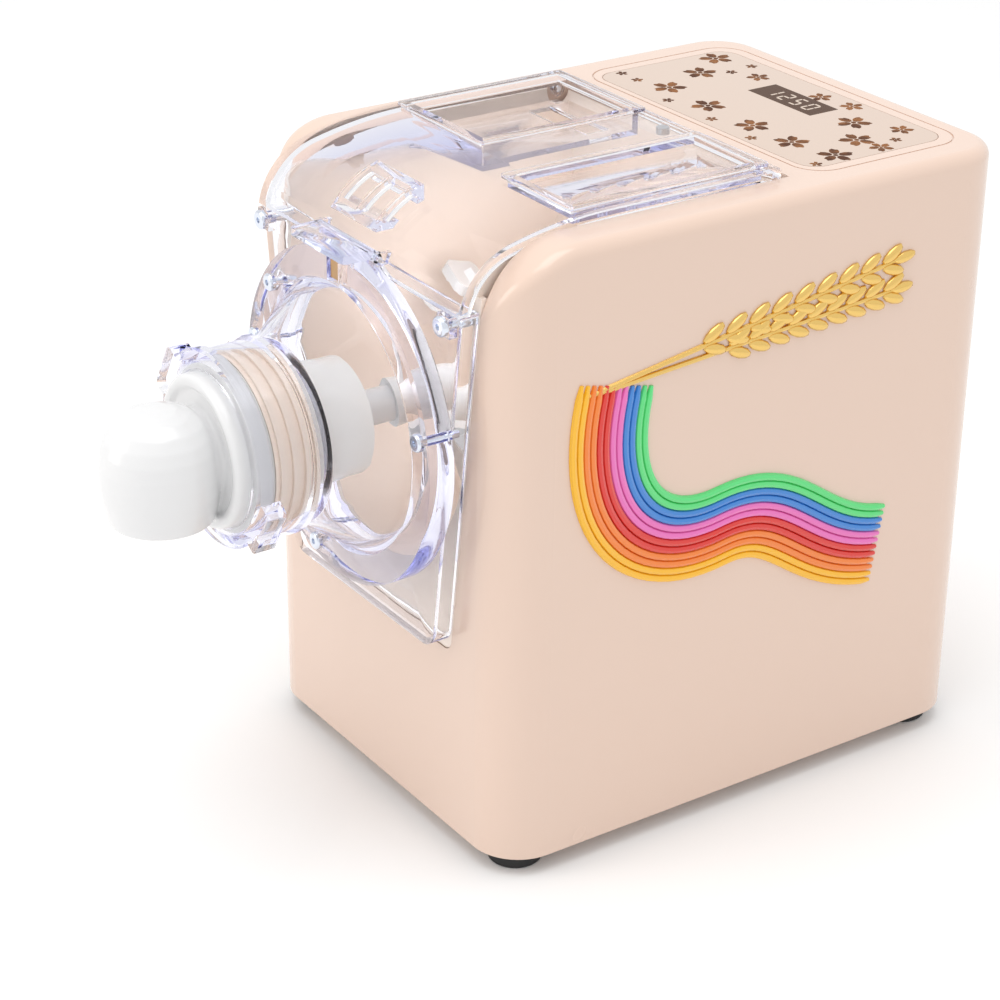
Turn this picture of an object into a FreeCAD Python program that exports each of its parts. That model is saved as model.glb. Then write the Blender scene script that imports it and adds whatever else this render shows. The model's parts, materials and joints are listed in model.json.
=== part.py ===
"""Electric pasta maker: one STEP file per piece, millimetres, +Z up.

The machine stands on four rubber feet. The extruder points along -Y, the control
panel is on the rear of the top, and the drive train lies along Y below and behind
the mixing bowl. Geometry is written with y = 0 on the housing's front face and is
moved at export, so that the origin is under the middle of the whole machine.
"""
import FreeCAD, Part
import math
import os

Vector = FreeCAD.Vector
os.makedirs("parts", exist_ok=True)

# Clearances, and how far a cutting tool passes the face it cuts
seat_gap = 0.3
run_fit = 0.05
thread_gap = 0.3
past = 1.0
tiny = 0.01

# Housing
body_width = 200.0
body_depth = 265.0
body_top = 290.0
foot_height = 9.0
wall = 3.0
liner_inset = 1.0
corner_radius = 23.0
brow_radius = 36.0
rim_radius = 6.0

# Well that takes the mixing bowl, open at the front and the top
well_half_top = 80.0
well_half_low = 58.0
well_low_z = 98.0
well_top_z = 270.0
well_depth = 155.6
well_corner = 6.0
seal_land = 2.0

# Drive axis
axis_z = 192.0

# Mixing bowl
bowl_wall = 2.5
bowl_radius = 65.0
bowl_half_top = 77.2

# Lid
lid_top = 295.0
lid_rear = 151.5
lid_flat_start = 64.0
lid_slope_radius = 201.0
lid_slope_angle = 14.4
lid_brow_radius = 33.7
lid_front_z = 262.0
lid_plate = 3.0
lid_band = 5.5
lid_hinge_y = 148.0
lid_hinge_z = 287.5
lid_hinge_radius = 1.5
lid_ear_radius = 3.6
lid_rear_round = 2.5
lid_half_width = 79.5
lid_ear_drop = 2.0
lid_pocket_cut = 9.0
hinge_pin_reach = 4.0

# Fill hopper and water tray in the lid
hopper_x = (-75.0, -13.0)
hopper_y = (62.0, 146.0)
hopper_depth = 13.0
hopper_wall = 2.2
hopper_slot = (44.0, 12.0)
tray_x = (29.0, 74.0)
tray_y = (47.0, 145.0)
tray_depth = 6.0
tray_hole_radius = 2.2
tray_hole_count = 6
rim_height = 1.6
rim_width = 2.6
rim_corner = 2.0
slot_inset = 8.0
tray_hole_inset = 14.0

# Lid handle and latch
handle_half = 18.0
handle_stand_off = 3.6
handle_plate = 3.0
handle_rib = 4.0
handle_low_z = 279.0
handle_high_y = 13.0
handle_foot = 3.4
handle_sill = 3.0
handle_window_rise = 3.2
handle_foot_inset = 0.5
latch_half = 22.0
latch_stand_off = 4.34
latch_z = 269.6
latch_reach = 16.0
latch_plate = 3.4
latch_barrel = 2.3
latch_pin_radius = 1.2
latch_ear = 2.6
latch_ear_wall = 0.8
latch_web_half = 2.4
latch_web_length = 8.0
latch_corner = 3.0
latch_under = 0.2
hook_half = 3.2
hook_drop = 15.0
hook_thick = 3.0
hook_toe = 5.5
hook_gap = 1.2
hook_set_back = 7.0
hook_room = 1.5

# Front plate and outlet barrel
plate_front_y = -9.0
plate_thick = 3.0
plate_gap = 1.0
plate_low_z = 101.5
plate_skirt = 2.5
boss_size = 9.0
boss_height = 4.0
boss_inset = 0.5
plate_corner_extra = 3.0
plate_overlap = 2.0
flange_radius = 74.6
flange_thick = 12.0
window_radius = 60.0
cone_front_y = -46.0
cone_front_radius = 40.0
cone_wall = 3.0
bulkhead_front_y = -50.0
screw_circle = 68.0
window_lead = 2.0
bulkhead_lead = 1.5
flange_floor = 4.0
flange_screw_angles = (12.0, 139.0, 168.0, 256.0)

# Auger sleeve, threaded insert, nut and die head
sleeve_radius = 26.0
sleeve_wall = 3.2
sleeve_rear_y = -17.0
insert_front_y = -71.0
insert_radius = 35.5
insert_bore = 30.0
thread_radius = 37.0
thread_ribs = 3
thread_pitch = 6.0
thread_width = 2.4
thread_lead = 2.0
nut_front_y = -81.0
nut_radius = 43.0
nut_body_radius = 41.4
nut_length = 27.5
nut_lip = 2.0
nut_lip_radius = 34.2
nut_lug_reach = 4.5
nut_lug_width = 26.0
nut_lug_length = 9.0
nut_lug_corner = 3.0
nut_rear_band = 3.0
nut_front_band = 5.0
nut_edge = 1.0
nut_lug_angles = (150.0, 330.0)
die_flange_thick = 6.6
die_neck_radius = 26.8
die_rim_height = 4.0
die_rim_width = 4.0
die_bore = 20.5
elbow_y = -105.0
elbow_radius = 28.0
spout_radius = 20.6
spout_low_z = 167.0
spout_bore = 16.0
spout_lip = 2.5
die_plate_radius = 18.0
die_plate_thick = 3.0
die_hole_radius = 1.3
die_hole_pitch = 5.4
die_hole_margin = 0.8
gasket_thick = 1.0

# Mixer shaft, auger and paddles
shaft_radius = 6.0
hub_radius = 11.0
seal_width = 2.0
shaft_socket = 24.0
auger_core = 8.0
auger_radius = 22.2
auger_pitch = 21.0
auger_flight = 4.0
auger_front_y = -66.0
auger_rear_y = -10.0
auger_tip_radius = 2.0
auger_tip_length = 6.0
auger_root = 2.0
auger_edge_taper = 0.8
hub_front = 14.0
hub_clearance = 1.0
core_overlap = 20.0
paddle_reach = 60.0
paddle_width = 13.0
paddle_thick = 6.0
paddle_stations = (22.0, 56.0, 90.0, 124.0)
paddle_turn = 100.0
paddle_blade_length = 20.5
paddle_tip_gap = 1.5
paddle_blade_half = 2.0
paddle_corner = 5.0
paddle_pitch_angle = 28.0
paddle_pitch_centre = 12.0
paddle_arm_end = 10.0

# Gear train: (teeth, module) of each gear, all axes along Y at x = 0
pinion_teeth = 12
wheel_teeth = 84
fine_module = 1.25
layshaft_teeth = 16
output_teeth = 62
coarse_module = 2.0
fine_face = (168.5, 175.5)
coarse_face = (180.5, 193.5)
wheel_hub = 9.0
addendum = 0.85
dedendum = 1.2
root_share = 0.34
tip_share = 0.125
pocket_circle = 36.0
pocket_radius = 13.0
pocket_count = 6

# Gearbox plates and motor
gearbox_half = 76.0
gearbox_top = 258.0
gearbox_plate = 4.0
gearbox_span = 41.0
gearbox_corner = 10.0
shaft_end_gap = 0.5
pillar_radius = 5.0
pillar_x = 70.0
pillar_z = (40.0, 250.0)
layshaft_radius = 4.0
bearing_radius = 14.0
small_bearing = 9.0
motor_radius = 38.0
motor_length = 90.0
motor_wall = 11.0
motor_cap = 4.0
motor_bearing_wall = 5.0
motor_rear_step = 1.0
motor_shaft_radius = 4.0
rotor_length = 66.0
rotor_gap = 0.6
fan_radius = 31.0
fan_width = 10.0
fan_blades = 9
fan_gap = 3.0
fan_disc = 2.0
fan_hub_wall = 4.0
fan_blade_half = 0.9
fan_shaft_over = 6.0

# Base, feet and fasteners
base_thick = 3.0
foot_radius = 12.3
foot_inset = 19.5
foot_bore = 5.2
foot_bore_depth = 5.0
foot_round = 1.5
screw_radius = 2.0
screw_head = 4.0
screw_head_height = 2.6
screw_head_round = 1.2
screw_recess_radius = 1.3
screw_recess_depth = 1.4
screw_sink = 0.5
screw_slot_half = 2.2
screw_slot_width = 1.0
screw_end_gap = 3.2
corner_screw_extra = 0.4
foot_screw_end = 10.0
foot_drill_end = 6.0
boss_radius = 5.6
boss_length = 30.0
base_slot_width = 3.2
base_slots = 9
base_slot_half = 30.0
base_slot_start = 42.0
base_slot_pitch = 2.2
saddle_half = 22.0
saddle_y = (96.0, 122.0)
saddle_rise = 6.0

# Panel, boards, rear grille and inlet
film_half = 78.0
film_front_gap = 13.4
film_rear_gap = 18.0
film_thick = 0.8
film_corner = 10.0
groove_offset = 6.5
groove_width = 0.8
groove_depth = 0.6
groove_front = 4.0
groove_corner_extra = 5.0
board_half = 62.0
board_inset = 4.0
board_drop = 8.0
board_post_radius = 3.0
board_post_x = 55.0
board_post_inset = 12.0
board_thick = 1.6
power_board_x = -38.0
power_board_half_x = 25.0
power_rear_gap = 6.0
power_front_gap = 10.1
power_stand_inset = 4.0
power_stand_radius = 2.5
power_stand_height = 8.0
reed_size = (16.0, 4.0, 6.0)
reed_drop = 18.5
magnet_radius = 3.0
magnet_thick = 3.0
magnet_inset = 8.0
display_size = (40.0, 18.0)
display_shift = 6.0
grille_slots = 11
grille_slot_width = 3.0
grille_half = 44.0
grille_start_z = 120.0
grille_pitch = 2.5
inlet_from_side = 42.0
inlet_z = 42.0
inlet_half = 14.0
inlet_height = 20.0
inlet_length = 18.0
inlet_wall = 3.0
inlet_floor = 4.0
inlet_flange = 4.0
inlet_flange_thick = 2.5
inlet_recess = 0.5
blade_length = 10.0
blade_half = (1.0, 1.6)
blade_places = ((-5.0, -1.5), (5.0, -1.5), (0.0, 3.0))

# Derived places
half_width = body_width / 2.0
inlet_x = half_width - inlet_from_side
body_low = foot_height
fine_centres = fine_module * (pinion_teeth + wheel_teeth) / 2.0
coarse_centres = coarse_module * (layshaft_teeth + output_teeth) / 2.0
layshaft_z = axis_z - coarse_centres
motor_z = layshaft_z - fine_centres
well_rear_wall = well_depth + wall
film_y = (well_depth + film_front_gap, body_depth - film_rear_gap)
gearbox_front_y = well_rear_wall + seat_gap
gearbox_rear_y = gearbox_front_y + gearbox_span
power_board_half_y = (body_depth - wall - power_rear_gap - gearbox_rear_y - power_front_gap) / 2.0
power_board_y = body_depth - wall - power_rear_gap - power_board_half_y
bowl_front_y = 0.5
bowl_rear_y = well_depth - seat_gap
plate_rear_y = bowl_front_y - seat_gap
flange_front_y = plate_front_y - flange_thick
nut_rear_y = nut_front_y + nut_length
nut_bore = thread_radius + thread_gap
die_front_y = nut_front_y + nut_lip + seat_gap
die_rear_y = die_front_y + die_flange_thick
die_flange_radius = thread_radius - seat_gap
base_top = body_low + base_thick
machine_front = elbow_y - elbow_radius
machine_rear = body_depth
shift_y = -(machine_front + machine_rear) / 2.0
slope_turn = math.radians(lid_slope_angle)
brow_start_y = lid_flat_start - lid_slope_radius * math.sin(slope_turn)
brow_start_z = lid_top - lid_slope_radius * (1.0 - math.cos(slope_turn))
brow_centre_y = brow_start_y + lid_brow_radius * math.sin(slope_turn)
brow_centre_z = brow_start_z - lid_brow_radius * math.cos(slope_turn)
latch_y = brow_centre_y - math.sqrt(lid_brow_radius ** 2 - (latch_z - brow_centre_z) ** 2) - latch_stand_off
node_count = 0


# Shape helpers

def box(x0, x1, y0, y1, z0, z1):
    return Part.makeBox(x1 - x0, y1 - y0, z1 - z0, Vector(x0, y0, z0))


def cylinder_y(radius, x, z, y0, y1):
    return Part.makeCylinder(radius, y1 - y0, Vector(x, y0, z), Vector(0, 1, 0))


def cylinder_z(radius, x, y, z0, z1):
    return Part.makeCylinder(radius, z1 - z0, Vector(x, y, z0), Vector(0, 0, 1))


def cylinder_x(radius, y, z, x0, x1):
    return Part.makeCylinder(radius, x1 - x0, Vector(x0, y, z), Vector(1, 0, 0))


def tube_y(outer, inner, y0, y1, x=0.0, z=axis_z):
    return cylinder_y(outer, x, z, y0, y1).cut(cylinder_y(inner, x, z, y0 - past, y1 + past))


def fused(shapes):
    shape = shapes[0]
    for other in shapes[1:]:
        shape = shape.fuse(other)
    return shape.removeSplitter()


def cut_all(shape, tools):
    for tool in tools:
        shape = shape.cut(tool)
    return shape


def revolved(points):
    """A solid of revolution about the drive axis from (radius, y) points."""
    path = [Vector(r, y, axis_z) for r, y in points]
    face = Part.Face(Part.makePolygon(path + [path[0]]))
    return face.revolve(Vector(0, 0, axis_z), Vector(0, 1, 0), 360)


def prism_y(points, y0, y1):
    path = [Vector(x, y0, z) for x, z in points]
    face = Part.Face(Part.makePolygon(path + [path[0]]))
    return face.extrude(Vector(0, y1 - y0, 0))


def edges_where(shape, test):
    return [e for e in shape.Edges if test(e.BoundBox)]


def rounded(shape, radius, test):
    return shape.makeFillet(radius, edges_where(shape, test))


def upright(size):
    """Picks edges that are vertical and at least as long as size."""
    return lambda b: b.XLength < tiny and b.YLength < tiny and b.ZLength >= size


def along_y(size):
    return lambda b: b.XLength < tiny and b.ZLength < tiny and b.YLength >= size


def rounded_slab(x0, x1, y0, y1, z0, z1, radius):
    return rounded(box(x0, x1, y0, y1, z0, z1), radius, upright(z1 - z0 - tiny))


def export(shape, name):
    global node_count
    moved = shape.copy()
    moved.translate(Vector(0, shift_y, 0))
    moved.exportStep("parts/" + name + ".step")
    node_count += 1
    print(name, len(shape.Solids), "solids, valid", shape.isValid(), "volume", round(shape.Volume))


# Outlines shared by several pieces

def side_block(inset, low):
    """The side silhouette with its rounded brow, as wide as the body."""
    x = half_width - inset
    front = inset
    top = body_top - inset
    radius = brow_radius - inset
    centre = Vector(-x, front + radius, top - radius)
    mid = centre + Vector(0, -radius * math.sqrt(0.5), radius * math.sqrt(0.5))
    rear = body_depth - inset
    start = Vector(-x, front, top - radius)
    end = Vector(-x, front + radius, top)
    edges = [
        Part.LineSegment(Vector(-x, front, low), start).toShape(),
        Part.Arc(start, mid, end).toShape(),
        Part.LineSegment(end, Vector(-x, rear, top)).toShape(),
        Part.LineSegment(Vector(-x, rear, top), Vector(-x, rear, low)).toShape(),
        Part.LineSegment(Vector(-x, rear, low), Vector(-x, front, low)).toShape(),
    ]
    return Part.Face(Part.Wire(edges)).extrude(Vector(2 * x, 0, 0))


def plan_block(inset, low, high):
    """The plan outline with its rounded corners, as tall as asked."""
    x = half_width - inset
    return rounded_slab(-x, x, inset, body_depth - inset, low, high, corner_radius - inset)


def well_half(z):
    """Half the width of the well at a height."""
    rise = (min(z, well_top_z) - well_low_z) / (well_top_z - well_low_z)
    return well_half_low + (well_half_top - well_half_low) * rise


def well_block(inset, low, y0, y1, top, radius):
    """A bar with the well's outline, inset evenly and rounded at its lower corners."""
    points = [
        (-well_half(low) + inset, low),
        (well_half(low) - inset, low),
        (well_half(well_top_z) - inset, well_top_z),
        (well_half(well_top_z) - inset, top),
        (-well_half(well_top_z) + inset, top),
        (-well_half(well_top_z) + inset, well_top_z),
    ]
    if top <= well_top_z:
        points = points[:2] + [(well_half(top) - inset, top), (-well_half(top) + inset, top)]
    block = prism_y(points, y0, y1)
    return rounded(block, radius, lambda b: along_y(y1 - y0 - tiny)(b) and b.ZMax < low + tiny)


def bowl_block(offset, y0, y1, top):
    """The bowl's round-bottomed cavity, grown by an offset."""
    radius = bowl_radius + offset
    half = bowl_half_top + offset
    sides = prism_y([(-radius, axis_z), (radius, axis_z), (half, top), (-half, top)], y0, y1)
    return cylinder_y(radius, 0, axis_z, y0, y1).fuse(sides).removeSplitter()


def lid_path(offset, x):
    """The lid's outer curve moved inwards by an offset: points from rear to front."""
    slope = lid_slope_radius - offset
    brow = lid_brow_radius - offset
    end = math.asin((lid_front_z - brow_centre_z) / brow)
    start = math.pi / 2 - slope_turn
    middle = (start + end) / 2

    def on_slope(turn):
        z = lid_top - lid_slope_radius + slope * math.cos(turn)
        return Vector(x, lid_flat_start - slope * math.sin(turn), z)

    def on_brow(angle):
        y = brow_centre_y - brow * math.cos(angle)
        return Vector(x, y, brow_centre_z + brow * math.sin(angle))

    return [
        Vector(x, lid_rear, lid_top - offset),
        Vector(x, lid_flat_start, lid_top - offset),
        on_slope(slope_turn / 2),
        on_slope(slope_turn),
        on_brow(middle),
        on_brow(end),
    ]


def lid_edges(points):
    rear, flat, sloped, joint, bent, front = points
    return [
        Part.LineSegment(rear, flat).toShape(),
        Part.Arc(flat, sloped, joint).toShape(),
        Part.Arc(joint, bent, front).toShape(),
    ]


def lid_layer(outer, inner, half):
    """The bent plate between two offsets of the lid's curve."""
    above = lid_path(outer, -half)
    below = lid_path(inner, -half)
    edges = lid_edges(above) + lid_edges(below)
    edges.append(Part.LineSegment(above[0], below[0]).toShape())
    edges.append(Part.LineSegment(above[-1], below[-1]).toShape())
    wire = Part.Wire(Part.__sortEdges__(edges))
    return Part.Face(wire).extrude(Vector(2 * half, 0, 0))


def under_lid(offset):
    """All the space below an offset of the lid's curve, for trimming what the lid covers."""
    half = half_width
    path = lid_path(offset, -half)
    low_front = Vector(-half, path[-1].y, body_low)
    low_rear = Vector(-half, lid_rear + 20, body_low)
    high_rear = Vector(-half, lid_rear + 20, path[0].z)
    edges = lid_edges(path)
    edges.append(Part.LineSegment(path[-1], low_front).toShape())
    edges.append(Part.LineSegment(low_front, low_rear).toShape())
    edges.append(Part.LineSegment(low_rear, high_rear).toShape())
    edges.append(Part.LineSegment(high_rear, path[0]).toShape())
    wire = Part.Wire(Part.__sortEdges__(edges))
    return Part.Face(wire).extrude(Vector(2 * half, 0, 0))


def foot_places():
    x = half_width - foot_inset
    return [(-x, foot_inset), (x, foot_inset), (-x, body_depth - foot_inset), (x, body_depth - foot_inset)]


# Housing and base

def housing_shell():
    block = side_block(0, body_low).common(plan_block(0, body_low, body_top))
    side_top = edges_where(block, lambda b: b.ZMin > body_top - brow_radius - past and b.ZMax > body_low + past)
    block = block.makeFillet(rim_radius, [e for e in side_top if not is_across(e)])
    hollow = side_block(wall, body_low - past).common(plan_block(wall, body_low - past, body_top))
    shell = block.cut(hollow)
    liner = well_block(-wall, well_low_z - wall, liner_inset, well_rear_wall, body_top + past, well_corner + wall)
    liner = liner.common(side_block(liner_inset, body_low))
    liner = liner.common(plan_block(liner_inset, body_low, body_top - liner_inset))
    well = well_block(0, well_low_z, -past, well_depth, body_top + past, well_corner)
    shell = shell.fuse(liner).cut(well)
    shell = shell.cut(cylinder_y(bearing_radius + seal_land, 0, axis_z, well_depth - past, well_rear_wall + past))
    for x, y in foot_places():
        post = cylinder_z(boss_radius, x, y, base_top + seat_gap, base_top + boss_length)
        side = math.copysign(half_width - wall / 2, x)
        x0, x1 = sorted((x, side))
        rib = box(x0, x1, y - wall / 2, y + wall / 2, base_top + seat_gap, base_top + boss_length)
        drill = cylinder_z(screw_radius + run_fit, x, y, base_top, base_top + boss_length - foot_drill_end)
        shell = shell.fuse(post).fuse(rib.common(plan_block(liner_inset, body_low, body_top))).cut(drill)
    film = rounded_slab(-film_half - seat_gap, film_half + seat_gap, film_y[0] - seat_gap,
                        film_y[1] + seat_gap, body_top - film_thick, body_top + past, film_corner)
    shell = shell.cut(film)
    window = box(-display_size[0] / 2, display_size[0] / 2, display_y() - display_size[1] / 2,
                 display_y() + display_size[1] / 2, body_top - 2 * wall, body_top)
    shell = shell.cut(window)
    shell = shell.cut(groove_block(0, groove_depth).cut(groove_block(groove_width, past)))
    for post_x in (-board_post_x, board_post_x):
        for post_y in (film_y[0] + board_post_inset, film_y[1] - board_post_inset):
            shell = shell.fuse(cylinder_z(board_post_radius, post_x, post_y, board_top(), body_top - wall / 2))
    pin_hole = cylinder_x(lid_hinge_radius + run_fit, lid_hinge_y, lid_hinge_z,
                          -hinge_pin_end(), hinge_pin_end())
    return cut_all(shell, rear_openings() + [pin_hole]).removeSplitter()


def groove_block(inset, depth):
    """The block inside the groove round the panel, drawn in by an inset."""
    half = film_half + groove_offset - inset
    return rounded_slab(-half, half, film_y[0] - groove_front + inset, film_y[1] + groove_offset - inset,
                        body_top - depth, body_top + past, film_corner + groove_corner_extra - inset)


def hinge_pin_end():
    return well_half_top + wall + 2 * past


def is_across(edge):
    """True for the edges that run straight across the width, which stay as the profile has them."""
    b = edge.BoundBox
    straight_across = b.YLength < tiny and b.ZLength < tiny
    return straight_across and b.YMax < body_depth - past


def display_y():
    return (film_y[0] + film_y[1]) / 2 + display_shift


def board_top():
    return body_top - wall - board_drop


def rear_openings():
    cuts = []
    for i in range(grille_slots):
        z = grille_start_z + i * grille_pitch * grille_slot_width
        cuts.append(box(-grille_half, grille_half, body_depth - wall - past, body_depth + past,
                        z, z + grille_slot_width))
    cuts.append(box(inlet_x - inlet_half, inlet_x + inlet_half, body_depth - wall - past, body_depth + past,
                    inlet_z - inlet_height / 2, inlet_z + inlet_height / 2))
    return cuts


def base_plate():
    plate = plan_block(wall + seat_gap, body_low, base_top)
    for i in range(base_slots):
        y = base_slot_start + i * base_slot_pitch * base_slot_width
        plate = plate.cut(box(-base_slot_half, base_slot_half, y, y + base_slot_width,
                              body_low - past, base_top + past))
    for x, y in foot_places():
        plate = plate.cut(cylinder_z(screw_radius + run_fit, x, y, body_low - past, base_top + past))
    saddle = box(-saddle_half, saddle_half, saddle_y[0], saddle_y[1], base_top - base_thick / 2,
                 motor_z - motor_radius + saddle_rise)
    saddle = saddle.cut(cylinder_y(motor_radius + seat_gap, 0, motor_z, saddle_y[0] - past, saddle_y[1] + past))
    return plate.fuse(saddle).removeSplitter()


def foot(x, y):
    pad = cylinder_z(foot_radius, x, y, 0, body_low)
    pad = pad.makeFillet(foot_round, [e for e in pad.Edges if e.BoundBox.ZMax < tiny and e.Length > foot_radius])
    bore = cylinder_z(foot_bore, x, y, -past, foot_bore_depth)
    return cut_all(pad, [bore, cylinder_z(screw_radius + run_fit, x, y, -past, body_low + past)])


def foot_screw(x, y):
    head = cylinder_z(screw_head, x, y, foot_bore_depth - screw_head_height, foot_bore_depth)
    shank = cylinder_z(screw_radius, x, y, foot_bore_depth - screw_sink, base_top + boss_length - foot_screw_end)
    recess = box(x - screw_slot_half, x + screw_slot_half, y - screw_slot_width / 2, y + screw_slot_width / 2,
                 0, foot_bore_depth - screw_head_height + screw_recess_depth)
    return head.fuse(shank).cut(recess)


# Panel and electronics

def control_film():
    return rounded_slab(-film_half, film_half, film_y[0], film_y[1],
                        body_top - film_thick, body_top, film_corner)


def control_board():
    z = board_top()
    return box(-board_half, board_half, film_y[0] + board_inset, film_y[1] - board_inset, z - board_thick, z)


def display_module():
    w, h = display_size[0] / 2 - seat_gap, display_size[1] / 2 - seat_gap
    return box(-w, w, display_y() - h, display_y() + h, board_top(), body_top - film_thick - seat_gap)


def reed_switch():
    x = (hopper_x[1] + tray_x[0]) / 2
    z = body_top - reed_drop
    return box(x - reed_size[0] / 2, x + reed_size[0] / 2, well_rear_wall, well_rear_wall + reed_size[1],
               z, z + reed_size[2])


def power_board():
    x, y = power_board_x, power_board_y
    half_x, half_y = power_board_half_x, power_board_half_y
    reach_x, reach_y = half_x - power_stand_inset, half_y - power_stand_inset
    z = base_top + power_stand_height
    stands = [cylinder_z(power_stand_radius, x + i * reach_x, y + j * reach_y, base_top, z)
              for i in (-1, 1) for j in (-1, 1)]
    board = box(x - half_x, x + half_x, y - half_y, y + half_y, z, z + board_thick)
    return fused([board] + stands)


def power_components():
    x, y = power_board_x, power_board_y
    half_x, half_y = power_board_half_x, power_board_half_y
    can = 0.28 * min(half_x, 1.1 * half_y)
    z = base_top + power_stand_height + board_thick
    return Part.makeCompound([
        cylinder_z(can, x - 0.6 * half_x, y - 0.48 * half_y, z, z + 1.04 * half_x),
        box(x - 0.2 * half_x, x + 0.36 * half_x, y - 0.78 * half_y, y, z, z + 0.64 * half_x),
        box(x - 0.84 * half_x, x + 0.2 * half_x, y + 0.22 * half_y, y + 0.87 * half_y, z, z + 0.8 * half_x),
        cylinder_z(0.57 * can, x + 0.68 * half_x, y + 0.52 * half_y, z, z + 0.56 * half_x),
    ])


def inlet_block(grow, y0, y1):
    """A block round the inlet's centre, larger than its opening by grow on every side."""
    half_high = inlet_height / 2
    return box(inlet_x - inlet_half - grow, inlet_x + inlet_half + grow, y0, y1,
               inlet_z - half_high - grow, inlet_z + half_high + grow)


def mains_inlet():
    y0 = body_depth - inlet_length
    body = inlet_block(-seat_gap, y0, body_depth - inlet_recess)
    socket = inlet_block(-inlet_wall, y0 + inlet_floor, body_depth + past)
    flange = inlet_block(inlet_flange, body_depth - wall - inlet_flange_thick, body_depth - wall)
    return fused([body.cut(socket), flange.cut(inlet_block(-inlet_wall / 2, y0, body_depth)).cut(socket)])


def inlet_pins():
    y0 = body_depth - inlet_length + inlet_floor
    half_x, half_z = blade_half
    blades = []
    for x, z in blade_places:
        blades.append(box(inlet_x + x - half_x, inlet_x + x + half_x, y0, y0 + blade_length,
                          inlet_z + z - half_z, inlet_z + z + half_z))
    return Part.makeCompound(blades)


# Bowl, front plate and barrel

def mixing_bowl():
    top = lid_top
    outer = bowl_block(bowl_wall, bowl_front_y, bowl_rear_y, top)
    cavity = bowl_block(0, bowl_front_y - past, bowl_rear_y - bowl_wall, top + past)
    flange = well_block(seat_gap, well_low_z + seat_gap, bowl_front_y, bowl_front_y + bowl_wall,
                        lid_front_z + 2 * bowl_wall + past, well_corner - seat_gap)
    bowl = outer.fuse(flange).cut(cavity)
    bowl = bowl.common(well_block(seat_gap, well_low_z + seat_gap, bowl_front_y, bowl_rear_y,
                                  top, well_corner - seat_gap))
    bowl = bowl.common(under_lid(lid_band + seat_gap)).cut(hinge_sweep())
    return bowl.cut(cylinder_y(hub_radius + seal_width, 0, axis_z, bowl_rear_y - 2 * bowl_wall, bowl_rear_y + past)).removeSplitter()


def hinge_sweep():
    """The room that the lid's rear edge turns through, and all above it."""
    corner = math.hypot(lid_rear - lid_hinge_y, lid_top - lid_hinge_z)
    radius = corner - (math.sqrt(2.0) - 1.0) * lid_rear_round + seat_gap
    turn = cylinder_x(radius, lid_hinge_y, lid_hinge_z, -half_width, half_width)
    return turn.fuse(box(-half_width, half_width, lid_hinge_y, well_depth, lid_hinge_z, lid_top + past))


def front_plate():
    top = lid_front_z - seat_gap
    corner = well_corner + plate_corner_extra
    outer = well_block(plate_gap, plate_low_z, plate_front_y, plate_rear_y, top, corner)
    inner = well_block(plate_gap + plate_skirt, plate_low_z + plate_skirt, plate_front_y + plate_thick,
                       plate_rear_y + past, top - plate_skirt, corner - plate_skirt)
    window = cylinder_y(window_radius - plate_overlap, 0, axis_z, plate_front_y - past, plate_rear_y + past)
    plate = outer.cut(inner).cut(window)
    for side in (-1, 1):
        x0, x1 = sorted((side * boss_outer(), side * (boss_outer() - boss_size)))
        plate = plate.fuse(box(x0, x1, plate_front_y - boss_height, plate_front_y, top - boss_size, top))
        drill = cylinder_y(screw_radius + run_fit, side * boss_x(), boss_z(),
                           plate_front_y - boss_height - past, plate_rear_y + past)
        plate = plate.cut(drill)
    for angle in flange_screw_angles:
        x, z = on_circle(screw_circle, angle)
        plate = plate.cut(cylinder_y(screw_radius + run_fit, x, z, plate_front_y - past, plate_rear_y + past))
    return plate.removeSplitter()


def boss_outer():
    return well_half(lid_front_z - boss_size) - plate_gap - boss_inset


def boss_x():
    return boss_outer() - boss_size / 2


def boss_z():
    return lid_front_z - seat_gap - boss_size / 2


def on_circle(radius, degrees):
    turn = math.radians(degrees)
    return radius * math.cos(turn), axis_z + radius * math.sin(turn)


def outlet_barrel():
    inner_front = cone_front_radius - cone_wall
    barrel = revolved([
        (window_radius - plate_overlap, plate_front_y),
        (flange_radius, plate_front_y),
        (flange_radius, flange_front_y),
        (window_radius + window_lead / 2, flange_front_y),
        (window_radius, flange_front_y + window_lead),
        (cone_front_radius, cone_front_y),
        (cone_front_radius, bulkhead_front_y),
        (sleeve_radius + run_fit, bulkhead_front_y),
        (sleeve_radius + run_fit, cone_front_y + bulkhead_lead),
        (inner_front, cone_front_y + bulkhead_lead),
        (window_radius - flange_floor, flange_front_y + cone_wall),
    ])
    notch = box(-hook_half - hook_gap, hook_half + hook_gap, flange_front_y - past, plate_front_y - flange_floor,
                latch_z - hook_drop - hook_room, axis_z + flange_radius + past)
    barrel = barrel.cut(notch)
    for angle in flange_screw_angles:
        x, z = on_circle(screw_circle, angle)
        barrel = barrel.cut(cylinder_y(screw_radius + run_fit, x, z, flange_front_y - past, plate_front_y + past))
    return barrel.removeSplitter()


def pan_screw(x, z, head_y, head_radius, length):
    head = cylinder_y(head_radius, x, z, head_y - screw_head_height, head_y)
    outer_edge = [e for e in head.Edges if e.BoundBox.YMax < head_y - past and e.Length > 2 * head_radius]
    head = head.makeFillet(screw_head_round, outer_edge)
    shank = cylinder_y(screw_radius, x, z, head_y - screw_sink, head_y + length)
    recess = cylinder_y(screw_recess_radius, x, z, head_y - screw_head_height - past,
                        head_y - screw_head_height + screw_recess_depth)
    return head.fuse(shank).cut(recess)


def flange_screws():
    length = plate_rear_y - flange_front_y - screw_end_gap
    return Part.makeCompound([pan_screw(*on_circle(screw_circle, a), flange_front_y, screw_head, length)
                              for a in flange_screw_angles])


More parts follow.
